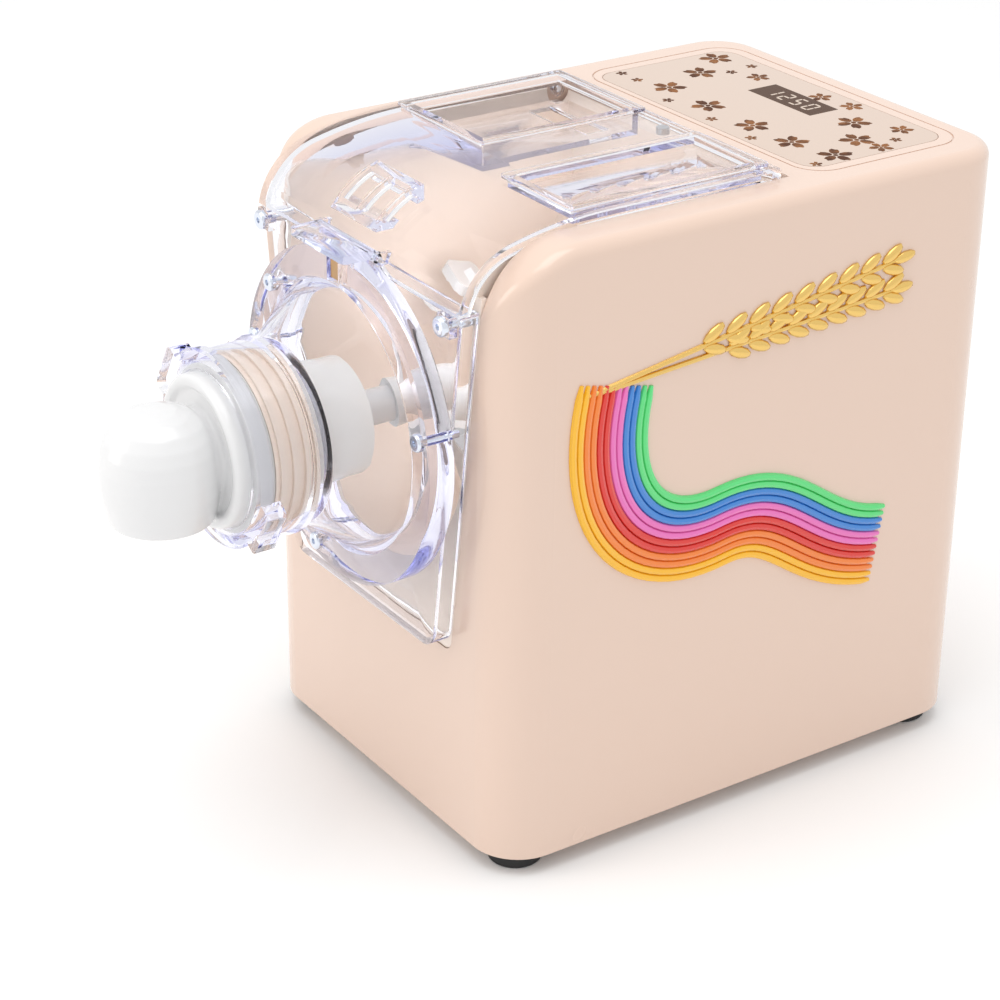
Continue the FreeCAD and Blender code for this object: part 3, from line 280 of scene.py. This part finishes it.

# %% [markdown]
# The plastics follow. The housing is a warm champagne with a clear coat, so its
# rounded corners catch long white highlights. The die head is a cool white. The
# sleeve behind the clear walls is painted a brighter, warmer white: painted light
# that makes up for what the clear walls take away.

# %% Opaque plastics and rubber
def plastic(name, colour, gloss, drift, scale, depth, **sockets):
    """Gloss is a roughness that drifts; the ripple has a scale, and a depth in metres."""
    material, shader = new_material(name, colour, **sockets)
    add_skin(material, shader, scale, gloss, drift, depth)
    return material


CHAMPAGNE = (0.735, 0.555, 0.455)
champagne = plastic("champagne_gloss", CHAMPAGNE, 0.26, 0.06, 260.0, 0.00002,
                    Coat_Weight=0.5, Coat_Roughness=0.06)
bowl_skin = plastic("bowl_satin", (0.93, 0.80, 0.71), 0.30, 0.06, 300.0, 0.00002,
                    Coat_Weight=0.2)
film_skin = plastic("panel_gloss_film", (0.60, 0.44, 0.34), 0.16, 0.04, 500.0, 0.00001,
                    Coat_Weight=0.8, Coat_Roughness=0.04)
insert_skin = plastic("insert_tan", (0.95, 0.81, 0.70), 0.25, 0.06, 400.0, 0.00002,
                      Coat_Weight=0.3)
white_skin = plastic("die_white", (0.735, 0.735, 0.74), 0.24, 0.06, 350.0, 0.00002,
                     Coat_Weight=0.35)
# Painted light: the sleeve's white is brighter and warmer than the die head's, for the light the
# clear walls take away.
sleeve_painted_light_white = plastic("sleeve_white_painted_light", (0.92, 0.91, 0.88), 0.24, 0.06, 350.0, 0.00002,
                      Coat_Weight=0.35)
amber_skin = plastic("latch_amber", (0.48, 0.25, 0.07), 0.22, 0.05, 500.0, 0.00001,
                     Coat_Weight=0.3)
rubber_skin = plastic("foot_rubber", (0.012, 0.012, 0.013), 0.55, 0.12, 900.0, 0.00006)
silicone_skin = plastic("seal_silicone", (0.80, 0.80, 0.78), 0.5, 0.1, 700.0, 0.00003)
nylon_skin = plastic("gear_nylon", (0.80, 0.77, 0.68), 0.42, 0.1, 600.0, 0.00003)
board_skin = plastic("board_green", (0.02, 0.12, 0.05), 0.35, 0.1, 900.0, 0.00002)
black_skin = plastic("moulded_black", (0.02, 0.02, 0.022), 0.4, 0.1, 700.0, 0.00004)
print("twelve plastics mixed")

# %% [markdown]
# Clear plastic is a glass shader with a slightly low index, because moulded
# walls this thin bend the view only a little. It has no clear coat: a coat also
# works on the inside of a wall, where it swallows the light that runs along it
# and leaves grey edges. Its own colour sits inside the wall: a volume absorbs a
# little red and green on the way, so a wall seen face on stays clear. Its base
# colour also turns blue-violet where a wall is seen edge on: that is painted
# shade, standing in for the dark lines that reflection and refraction draw there.

# %% Clear plastic
TINT_STARTS = 0.78
TINT_FULL = 0.97
CLEAR_INDEX = 1.23
# The edge colour is painted shade: blue-violet put where a wall is seen edge on, for the dark
# lines real clear plastic shows there.
EDGE_SHADE_TINT = (0.36, 0.37, 0.68)
WALL_TINT = (0.40, 0.42, 0.84)
WALL_DENSITY = 10.5


def clear_plastic(name, index, edge_shade_tint, wall_tint, density):
    """A glass with a coloured body and a painted blue-violet shade on its edges, from TINT_STARTS
    to TINT_FULL of Facing.
    """
    material, shader = new_material(name, (1.0, 1.0, 1.0), Transmission_Weight=1.0, IOR=index,
                                    Roughness=0.0)
    tree = material.node_tree
    weight = tree.nodes.new("ShaderNodeLayerWeight")
    weight.inputs["Blend"].default_value = 0.5
    ramp = tree.nodes.new("ShaderNodeValToRGB")
    ramp.color_ramp.elements[0].position = TINT_STARTS
    ramp.color_ramp.elements[0].color = (1, 1, 1, 1)
    ramp.color_ramp.elements[1].position = TINT_FULL
    ramp.color_ramp.elements[1].color = (*edge_shade_tint, 1)
    inside = tree.nodes.new("ShaderNodeVolumeAbsorption")
    inside.inputs["Color"].default_value = (*wall_tint, 1)
    inside.inputs["Density"].default_value = density
    tree.links.new(weight.outputs["Facing"], ramp.inputs["Fac"])
    tree.links.new(ramp.outputs["Color"], shader.inputs["Base Color"])
    tree.links.new(inside.outputs["Volume"], tree.nodes["Material Output"].inputs["Volume"])
    return material


clear_skin = clear_plastic("clear_polycarbonate", CLEAR_INDEX, EDGE_SHADE_TINT, WALL_TINT, WALL_DENSITY)
print("clear plastic ready")

# %% [markdown]
# Metals: bright plated screws, turned steel for shafts, a duller cast alloy for
# the gearbox, and gold for the side decoration. They share the moulded ripple,
# finest on the steel, where it stands for the marks of turning.

# %% Metals
def metal(name, colour, rough, drift, scale, depth):
    """The same ripple as a plastic's, on a bare metal."""
    material, shader = new_material(name, colour, Metallic=1.0)
    add_skin(material, shader, scale, rough, drift, depth)
    return material


chrome_skin = metal("plated_screws", (0.72, 0.76, 0.84), 0.10, 0.05, 900.0, 0.00001)
steel_skin = metal("turned_steel", (0.55, 0.55, 0.56), 0.28, 0.10, 1400.0, 0.00002)
alloy_skin = metal("cast_alloy", (0.55, 0.56, 0.57), 0.45, 0.15, 500.0, 0.00008)
gold_skin = metal("gold_print", (0.83, 0.56, 0.18), 0.24, 0.10, 700.0, 0.00003)
print("metals ready")

# %% Give every solid its finish
FINISH = {
    "champagne_shell": champagne, "bowl_plastic": bowl_skin, "panel_film": film_skin,
    "clear_plastic": clear_skin, "insert_plastic": insert_skin, "amber_plastic": amber_skin,
    "white_plastic": white_skin, "foot_rubber": rubber_skin, "silicone": silicone_skin,
    "chrome_screws": chrome_skin, "plain_steel": steel_skin, "gear_nylon": nylon_skin,
    "gearbox_alloy": alloy_skin, "board": board_skin, "components": black_skin,
}
SLOT_OF = {part["node"]: part["material_slot"] for part in frame["record"]["subparts"]}


def paint(node, material):
    """Gives a solid one material."""
    mesh = nodes[node].data
    mesh.materials.clear()
    mesh.materials.append(material)


for node_name, slot_name in SLOT_OF.items():
    paint(node_name, FINISH[slot_name])
paint("auger_sleeve", sleeve_painted_light_white)
print("painted", len(SLOT_OF), "solids")

# %% [markdown]
# ## Clear mouldings
# The clear parts touch each other: the outlet ring lies on the front plate, the
# trays hang in the lid. A path tracer can't tell which wall it enters where two
# clear faces share one place, and paints it black. So each clear part is shown
# by a copy whose skin is drawn in by a few hundredths of a millimetre. The copy
# is also where the sharp moulded edges get their small round, which is what
# draws the bright and blue lines along real clear plastic.

# %% A helper for finished copies of a solid
SKIN_GAP = 0.00004
SHARP = math.radians(32)
FLAT = math.radians(0.4)
SAME_POINT = 1e-6


def solid_copy(node):
    """The node's surface as one connected bmesh, its flat areas joined."""
    bm = bmesh.new()
    bm.from_mesh(nodes[node].data)
    bmesh.ops.remove_doubles(bm, verts=bm.verts, dist=SAME_POINT)
    bmesh.ops.dissolve_limit(bm, angle_limit=FLAT, verts=bm.verts, edges=bm.edges)
    bm.normal_update()
    return bm


def sharp_edges(bm):
    """Edges between two faces that meet at more than SHARP."""
    return [e for e in bm.edges
            if len(e.link_faces) == 2 and e.calc_face_angle() > SHARP and e.calc_length() > 0.0]


def add_piece(name, bm, material, body, smooth=True):
    """Writes a bmesh to a new object at the origin, painted and riding on its body."""
    mesh = bpy.data.meshes.new(name)
    bm.to_mesh(mesh)
    bm.free()
    if "custom_normal" in mesh.attributes:
        mesh.attributes.remove(mesh.attributes["custom_normal"])
    if smooth:
        mesh.shade_smooth()
        mesh.set_sharp_from_angle(angle=SHARP)
    else:
        mesh.shade_flat()
    mesh.materials.clear()
    mesh.materials.append(material)
    piece = bpy.data.objects.new(name, mesh)
    bpy.context.scene.collection.objects.link(piece)
    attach(piece, body)
    return piece


def clear_moulding(node, body, edge_round):
    """A copy of a clear solid with rounded edges and its skin drawn in by SKIN_GAP."""
    bm = solid_copy(node)
    bmesh.ops.bevel(bm, geom=sharp_edges(bm), offset=edge_round, offset_type="OFFSET", segments=2,
                    profile=0.5, affect="EDGES", clamp_overlap=True, material=-1)
    bm.normal_update()
    inward = [(v, v.normal.copy()) for v in bm.verts]
    for vertex, normal in inward:
        vertex.co -= normal * SKIN_GAP
    bmesh.ops.triangulate(bm, faces=bm.faces)
    piece = add_piece(node + "_clear", bm, clear_skin, body)
    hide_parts(node)
    return piece


CLEAR_PARTS = [
    ("lid_shell", "lid", 0.0004),
    ("fill_hopper", "lid", 0.0003),
    ("water_tray", "lid", 0.0003),
    ("lid_handle", "lid", 0.0004),
    ("latch_tab", "latch", 0.0003),
    ("front_plate", "machine", 0.0003),
    ("outlet_barrel", "machine", 0.0003),
    ("lock_nut", "nut", 0.0003),
]
for part_name, body_name, round_size in CLEAR_PARTS:
    made = clear_moulding(part_name, body_name, round_size)
    print(made.name, len(made.data.polygons), "triangles")

# %% [markdown]
# ## Die head
# The white head is one moulding: a drum that fills the nut's opening, a neck, and
# a hood that turns the flow downwards. Two turned shapes make it, one about the
# drive axis and one about the outlet's axis. Where they cross, a real mould has
# no hard line, so both are remeshed into one skin and relaxed a little.

# %% Turned shapes
TURN_STEPS = 96
POLE_GAP = 1e-5
ALONG_X = Vector((1, 0, 0))


def turned(bm, profile, centre, axis):
    """Spins a chain of (radius, place along the axis) points, in millimetres, round an axis."""
    points = [bm.verts.new(centre + (ALONG_X * r + axis * a) * MM) for r, a in profile]
    chain = [bm.edges.new(pair) for pair in zip(points, points[1:])]
    bmesh.ops.spin(bm, geom=points + chain, cent=centre, axis=axis, angle=2 * math.pi,
                   steps=TURN_STEPS, use_merge=True)
    bmesh.ops.remove_doubles(bm, verts=bm.verts, dist=POLE_GAP)


def one_skin(bm, voxel, passes, factor):
    """Joins the crossing shells of a bmesh into one skin and relaxes it."""
    rough = bpy.data.meshes.new("head_rough")
    bm.to_mesh(rough)
    bm.free()
    blank = bpy.data.objects.new("head_rough", rough)
    bpy.context.scene.collection.objects.link(blank)
    remesh = blank.modifiers.new("one_skin", "REMESH")
    remesh.mode = "VOXEL"
    remesh.voxel_size = voxel
    ready = blank.evaluated_get(bpy.context.evaluated_depsgraph_get())
    joined = bpy.data.meshes.new_from_object(ready)
    bpy.data.objects.remove(blank)
    bm = bmesh.new()
    bm.from_mesh(joined)
    bpy.data.meshes.remove(joined)
    for _ in range(passes):
        bmesh.ops.smooth_vert(bm, verts=bm.verts, factor=factor, use_axis_x=True,
                              use_axis_y=True, use_axis_z=True)
    return bm


print("turned shapes are spun in", TURN_STEPS, "steps")

# %% The die head
ELBOW_REACH = 0.028
elbow_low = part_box("die_elbow")[0]
HEAD_CENTRE = Vector((0, elbow_low.y + ELBOW_REACH, AXIS_Z))
DRUM = [(0, -2), (23.6, -2), (23.8, 6.5), (22.6, 8.6), (20.0, 9.6), (19.6, 20), (26.5, 20),
        (28.6, 18.2), (31.4, 17.8), (33.0, 19.2), (33.4, 21), (33.4, 26.5), (36.6, 26.5),
        (36.6, 33), (20.5, 33), (20.5, 24), (0, 24)]
HOOD = [(0, 24.2), (8, 23.7), (14, 21.8), (19, 18.2), (22.5, 13.4), (24.6, 8), (25.6, 2),
        (25.8, -4), (25.3, -11), (24.2, -17), (22.9, -22.5), (22.2, -24.6), (21.4, -25.0),
        (18.5, -25.0), (18.5, -21.7), (16, -21.7), (16, -8), (0, -6)]
HEAD_VOXEL = 0.0007
RELAX_PASSES = 4
RELAX_FACTOR = 0.5


def outlet_head():
    """The drum and the hood as one white skin that stands for the solid elbow."""
    bm = bmesh.new()
    turned(bm, DRUM, HEAD_CENTRE, Vector((0, 1, 0)))
    turned(bm, HOOD, HEAD_CENTRE, Vector((0, 0, 1)))
    bmesh.ops.recalc_face_normals(bm, faces=bm.faces)
    bm = one_skin(bm, HEAD_VOXEL, RELAX_PASSES, RELAX_FACTOR)
    piece = add_piece("outlet_head", bm, white_skin, "die_head")
    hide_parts("die_elbow")
    return piece


head = outlet_head()
print(head.name, len(head.data.polygons), "faces")

# %% [markdown]
# ## Panel print
# The control film carries a print of small blossoms, each of them a touch key,
# and a window with numbers. A print has almost no height. Each petal is a flat
# disc stretched to a petal's shape, with a notch at its tip. It stands a few
# hundredths of a millimetre proud, so that it never fights the film for a place.

# %% Bronze print
INK_MIDDLE = (0.15, 0.06, 0.02)
INK_DARK = (0.080, 0.025, 0.008)
INK_LIGHT = (0.27, 0.105, 0.032)
INK_CLOUD = 130.0
WINDOW_BROWN = (0.075, 0.032, 0.014)
PRINT_HEIGHT = 0.00006
PRINT_SINK = 0.00002
FILM_TOP = film_high.z


def bronze_print():
    """Brown ink that runs from dark to light across the panel."""
    material, shader = new_material("bronze_print", INK_MIDDLE)
    tree = material.node_tree
    place = tree.nodes.new("ShaderNodeTexCoord")
    cloud = tree.nodes.new("ShaderNodeTexNoise")
    cloud.inputs["Scale"].default_value = INK_CLOUD
    cloud.inputs["Detail"].default_value = 2.0
    ramp = tree.nodes.new("ShaderNodeValToRGB")
    ramp.color_ramp.elements[0].position = 0.38
    ramp.color_ramp.elements[0].color = (*INK_DARK, 1)
    ramp.color_ramp.elements[1].position = 0.66
    ramp.color_ramp.elements[1].color = (*INK_LIGHT, 1)
    tree.links.new(place.outputs["Object"], cloud.inputs["Vector"])
    tree.links.new(cloud.outputs["Fac"], ramp.inputs["Fac"])
    tree.links.new(ramp.outputs["Color"], shader.inputs["Base Color"])
    shader.inputs["Specular IOR Level"].default_value = 0.1
    add_skin(material, shader, 600.0, 0.5, 0.08, 0.00001)
    return material


bronze_skin = bronze_print()
dark_window = plastic("display_window", WINDOW_BROWN, 0.4, 0.04, 500.0, 0.00001,
                      Specular_IOR_Level=0.15)
print("film top at", round(FILM_TOP, 5))

# %% Petals and blossoms, as shares of a blossom's radius
PETALS = 5
PETAL_REACH = 0.60
PETAL_LONG = 0.42
PETAL_WIDE = 0.27
PETAL_NOTCH = 0.35
PETAL_SIDES = 10
CENTRE_WIDE = 0.14
CENTRE_SIDES = 8


def add_disc(bm, place, long, wide, turn, height, sides, notch=0.0):
    """A flat print patch: a disc stretched along its own axis, turned and set down."""
    made = bmesh.ops.create_circle(bm, cap_ends=True, segments=sides, radius=1.0)["verts"]
    if notch:
        tip = max(made, key=lambda v: v.co.x)
        tip.co.x -= notch
    faces = list({f for v in made for f in v.link_faces})
    lying = Matrix.Translation(place) @ Matrix.Rotation(turn, 4, "Z")
    bmesh.ops.transform(bm, matrix=lying @ Matrix.Diagonal((long, wide, 1, 1)), verts=made)
    risen = bmesh.ops.extrude_face_region(bm, geom=faces)["geom"]
    top = [g for g in risen if isinstance(g, bmesh.types.BMVert)]
    bmesh.ops.translate(bm, verts=top, vec=(0, 0, height))


def add_blossom(bm, x, y, radius, turn):
    """Notched petals round a small disc, with their undersides sunk into the film."""
    under = FILM_TOP - PRINT_SINK
    height = PRINT_HEIGHT + PRINT_SINK
    for k in range(PETALS):
        angle = turn + k * 2 * math.pi / PETALS
        reach = radius * PETAL_REACH
        place = (x + reach * math.cos(angle), y + reach * math.sin(angle), under)
        add_disc(bm, place, radius * PETAL_LONG, radius * PETAL_WIDE, angle, height,
                 PETAL_SIDES, PETAL_NOTCH)
    add_disc(bm, (x, y, under), radius * CENTRE_WIDE, radius * CENTRE_WIDE, 0, height,
             CENTRE_SIDES)


print("a blossom has", PETALS, "petals")

# %% The print's layout: places in millimetres from the film's corner, radii in metres
LARGE = [(9, 80), (23, 55), (33, 23), (64, 21), (97, 20), (124, 20), (118, 70), (137, 52),
         (152, 26)]
MEDIUM = [(43, 78), (82, 84), (137, 84), (155, 55), (100, 88)]
SMALL = [(4, 16), (16, 16), (48, 8), (80, 8), (110, 6), (28, 88), (30, 71), (146, 70), (152, 8)]
BLOSSOMS = ((LARGE, 0.0084), (MEDIUM, 0.0058), (SMALL, 0.0030))
LAYOUT_DEPTH = 96
FILM_DEPTH_SCALE = (film_high.y - film_low.y) / (LAYOUT_DEPTH * MM)
FIRST_TURN = 0.4
TURN_EACH = 0.9


def kept_inside(value, low, high, margin):
    """The value, moved where it comes nearer to low or high than the margin."""
    return min(max(value, low + margin), high - margin)


def blossom_print():
    bm = bmesh.new()
    for group, radius in BLOSSOMS:
        for i, (across, deep) in enumerate(group):
            x = kept_inside(film_low.x + across * MM, film_low.x, film_high.x, radius)
            y = kept_inside(film_low.y + deep * MM * FILM_DEPTH_SCALE, film_low.y, film_high.y,
                            radius)
            add_blossom(bm, x, y, radius, FIRST_TURN + TURN_EACH * i)
    bmesh.ops.recalc_face_normals(bm, faces=bm.faces)
    return add_piece("blossom_print", bm, bronze_skin, "machine", smooth=False)


print(blossom_print().name, "laid on the film")

# %% [markdown]
# The window shows a time in seven-segment figures. Each figure is made of seven
# short bars, and a table says which of them are lit.

# %% The display window and its figures
WINDOW_DEPTH = 0.055
WINDOW_CENTRE = ((film_low.x + film_high.x) / 2, film_low.y + WINDOW_DEPTH)
WINDOW_SIZE = (0.044, 0.0165)
FIGURE_COLOUR = (0.62, 0.50, 0.40)
FIGURE_STEP = 0.0085
HALF_FIGURE = 0.0042
BAR_STROKE = 0.0011
BAR_LENGTH = HALF_FIGURE * 0.86
LIT = {"0": "abcdef", "1": "bc", "2": "abged", "5": "afgcd"}
BAR_PLACES = {
    "a": (0, 1, 0), "b": (0.5, 0.5, 1), "c": (0.5, -0.5, 1), "d": (0, -1, 0),
    "e": (-0.5, -0.5, 1), "f": (-0.5, 0.5, 1), "g": (0, 0, 0),
}
figure_skin = plastic("display_figures", FIGURE_COLOUR, 0.2, 0.04, 500.0, 0.00001)


def add_bar(bm, x, y, z, long, wide, high):
    """A flat block centred on a place."""
    made = bmesh.ops.create_cube(bm, size=1.0)["verts"]
    shape = Matrix.Translation((x, y, z)) @ Matrix.Diagonal((long, wide, high, 1))
    bmesh.ops.transform(bm, matrix=shape, verts=made)


def display_window():
    bm = bmesh.new()
    add_bar(bm, *WINDOW_CENTRE, FILM_TOP, *WINDOW_SIZE, 2 * PRINT_HEIGHT)
    return add_piece("display_window", bm, dark_window, "machine", smooth=False)


def display_figures(text):
    """Places each figure's lit bars; a bar has two offsets and whether it stands upright."""
    bm = bmesh.new()
    x = WINDOW_CENTRE[0] - FIGURE_STEP * (len(text) - 1) / 2
    for figure in text:
        for bar in LIT[figure]:
            dx, dy, upright = BAR_PLACES[bar]
            size = (BAR_STROKE, BAR_LENGTH) if upright else (BAR_LENGTH, BAR_STROKE)
            add_bar(bm, x + dx * HALF_FIGURE, WINDOW_CENTRE[1] + dy * HALF_FIGURE,
                    FILM_TOP + PRINT_HEIGHT, *size, PRINT_HEIGHT)
        x += FIGURE_STEP
    return add_piece("display_figures", bm, figure_skin, "machine", smooth=False)


print(display_window().name, "set in the film")
print(display_figures("1250").name, "lit")

# %% [markdown]
# ## Side decoration
# The side wall carries a raised decoration: a flowing band of coloured lines
# below a pair of gold wheat ears. Each line is a bead of glossy plastic. It
# starts as a small circle, and the circle's edge is extruded again and again
# along the band's path, as icing is squeezed from a bag.

# %% Paths on the side wall, in millimetres of depth and height
BAND_SPANS = [
    [(53, 226), (40, 176), (66, 138), (112, 146)],
    [(112, 146), (150, 152), (160, 118), (203, 112)],
]
SPAN_STEPS = 26


def bezier(points, t):
    """A point of the curve from the first point to the last, drawn towards the two between."""
    a, b, c, d = points
    s = 1 - t
    return a * s ** 3 + b * (3 * s * s * t) + c * (3 * s * t * t) + d * t ** 3


def band_path(offset, steps=SPAN_STEPS):
    """Points of one line of the band: the middle line moved sideways by offset."""
    spans = [[Vector(p) * MM for p in span] for span in BAND_SPANS]
    middle = []
    for i, span in enumerate(spans):
        middle += [bezier(span, k / steps) for k in range(0 if i == 0 else 1, steps + 1)]
    path = []
    for i, point in enumerate(middle):
        ahead = middle[min(i + 1, len(middle) - 1)] - middle[max(i - 1, 0)]
        side = Vector((-ahead.y, ahead.x)).normalized()
        path.append(point + side * offset)
    return path


print(len(band_path(0)), "points on the band's middle line")

# %% Beads of coloured plastic
BEAD_COLOURS = [
    ("bead_green", (0.10, 0.68, 0.20)),
    ("bead_blue", (0.04, 0.22, 0.62)),
    ("bead_pink", (0.78, 0.16, 0.48)),
    ("bead_red", (0.70, 0.035, 0.025)),
    ("bead_orange", (0.85, 0.22, 0.03)),
    ("bead_yellow", (0.90, 0.48, 0.02)),
]
BEAD_RADIUS = 0.00175
BEAD_PITCH = 0.0033
BEAD_SIDES = 8
BEAD_PROUD = 0.0002
BEAD_END = 0.55
LINES_EACH = 2


def wall_point(point, proud):
    """A point on the side wall, from its depth and height there and how far it stands out."""
    return Vector((SIDE_X + proud, point.x + FRONT_Y, point.y))


def add_bead(bm, path, radius, proud):
    """Extrudes a ring of edges along the path and narrows both ends."""
    ring = None
    last = len(path) - 1
    for i, point in enumerate(path):
        ahead = (path[min(i + 1, last)] - path[max(i - 1, 0)]).normalized()
        along = Vector((0, ahead.x, ahead.y))
        across = along.cross(ALONG_X)
        slim = BEAD_END if i in (0, last) else 1.0
        facing = Matrix((across, ALONG_X, along)).transposed().to_4x4()
        here = Matrix.Translation(wall_point(point, proud)) @ facing
        here = here @ Matrix.Diagonal((slim, slim, 1, 1))
        if ring is None:
            ring = bmesh.ops.create_circle(bm, cap_ends=True, segments=BEAD_SIDES,
                                           radius=radius)["verts"]
            bmesh.ops.transform(bm, matrix=here, verts=ring)
            edges = list({e for v in ring for e in v.link_edges})
        else:
            grown = bmesh.ops.extrude_edge_only(bm, edges=edges)["geom"]
            ring = [g for g in grown if isinstance(g, bmesh.types.BMVert)]
            edges = [g for g in grown if isinstance(g, bmesh.types.BMEdge)]
            bmesh.ops.transform(bm, matrix=here @ before.inverted(), verts=ring)
        before = here
    bmesh.ops.contextual_create(bm, geom=edges)


def colour_band():
    count = len(BEAD_COLOURS) * LINES_EACH
    for c, (name, colour) in enumerate(BEAD_COLOURS):
        bm = bmesh.new()
        for k in range(LINES_EACH):
            place = (c * LINES_EACH + k - (count - 1) / 2) * BEAD_PITCH
            add_bead(bm, band_path(-place), BEAD_RADIUS, BEAD_PROUD)
        bmesh.ops.recalc_face_normals(bm, faces=bm.faces)
        skin = plastic(name, colour, 0.22, 0.05, 500.0, 0.00001, Coat_Weight=0.4)
        piece = add_piece(name, bm, skin, "machine")
        print(piece.name, len(piece.data.polygons), "faces")


colour_band()

# %% [markdown]
# A wheat ear is a stem with grains set in pairs and one at its tip. The grains
# are small spheres, stretched to ovals and set about half into the wall. The
# helper that drew the band draws the stem too, as a thinner bead.

# %% Gold wheat ears: foot and tip in millimetres, and the stem's bare share
EARS = [((36, 224), (206, 250), 0.36), ((36, 224), (206, 236), 0.44)]
STEM_RADIUS = 0.0012
STEM_STEPS = 12
GRAIN_PAIRS = 9
GRAIN_LEAN = math.radians(24)
GRAIN_REACH = 0.0062
GRAIN_ASIDE = 0.0012
GRAIN_PROUD = 0.0004
GRAIN_LONG = 0.0064
GRAIN_WIDE = 0.0027
TIP_WIDE = 0.0026
GRAIN_RISE = 0.7
QUARTER = math.radians(90)


def add_grain(bm, place, turn, long, wide):
    """A sphere stretched to an oval that lies along the wall and stands out a little."""
    made = bmesh.ops.create_uvsphere(bm, u_segments=10, v_segments=8, radius=1.0)["verts"]
    lying = Matrix.Translation(place) @ Matrix.Rotation(turn, 4, "X")
    shape = lying @ Matrix.Diagonal((wide * GRAIN_RISE, long, wide, 1))
    shape = shape @ Matrix.Rotation(QUARTER, 4, "X") @ Matrix.Rotation(QUARTER, 4, "Y")
    bmesh.ops.transform(bm, matrix=shape, verts=made)


def wheat_ears():
    bm = bmesh.new()
    for start, end, bare in EARS:
        foot, tip = Vector(start) * MM, Vector(end) * MM
        run = tip - foot
        turn = math.atan2(run.y, run.x)
        stem = [foot + run * (k / STEM_STEPS) for k in range(STEM_STEPS + 1)]
        add_bead(bm, stem, STEM_RADIUS, BEAD_PROUD)
        aside = Vector((-run.y, run.x)).normalized()
        for k in range(GRAIN_PAIRS):
            at = foot + run * (bare + (1 - bare) * k / GRAIN_PAIRS)
            for side in (-1, 1):
                lean = turn + side * GRAIN_LEAN
                out = Vector((math.cos(lean), math.sin(lean)))
                middle = at + out * GRAIN_REACH + aside * side * GRAIN_ASIDE
                add_grain(bm, wall_point(middle, GRAIN_PROUD), lean, GRAIN_LONG, GRAIN_WIDE)
        add_grain(bm, wall_point(tip, GRAIN_PROUD), turn, GRAIN_LONG, TIP_WIDE)
    bmesh.ops.recalc_face_normals(bm, faces=bm.faces)
    return add_piece("wheat_ears", bm, gold_skin, "machine")


print(wheat_ears().name, "set on the wall")
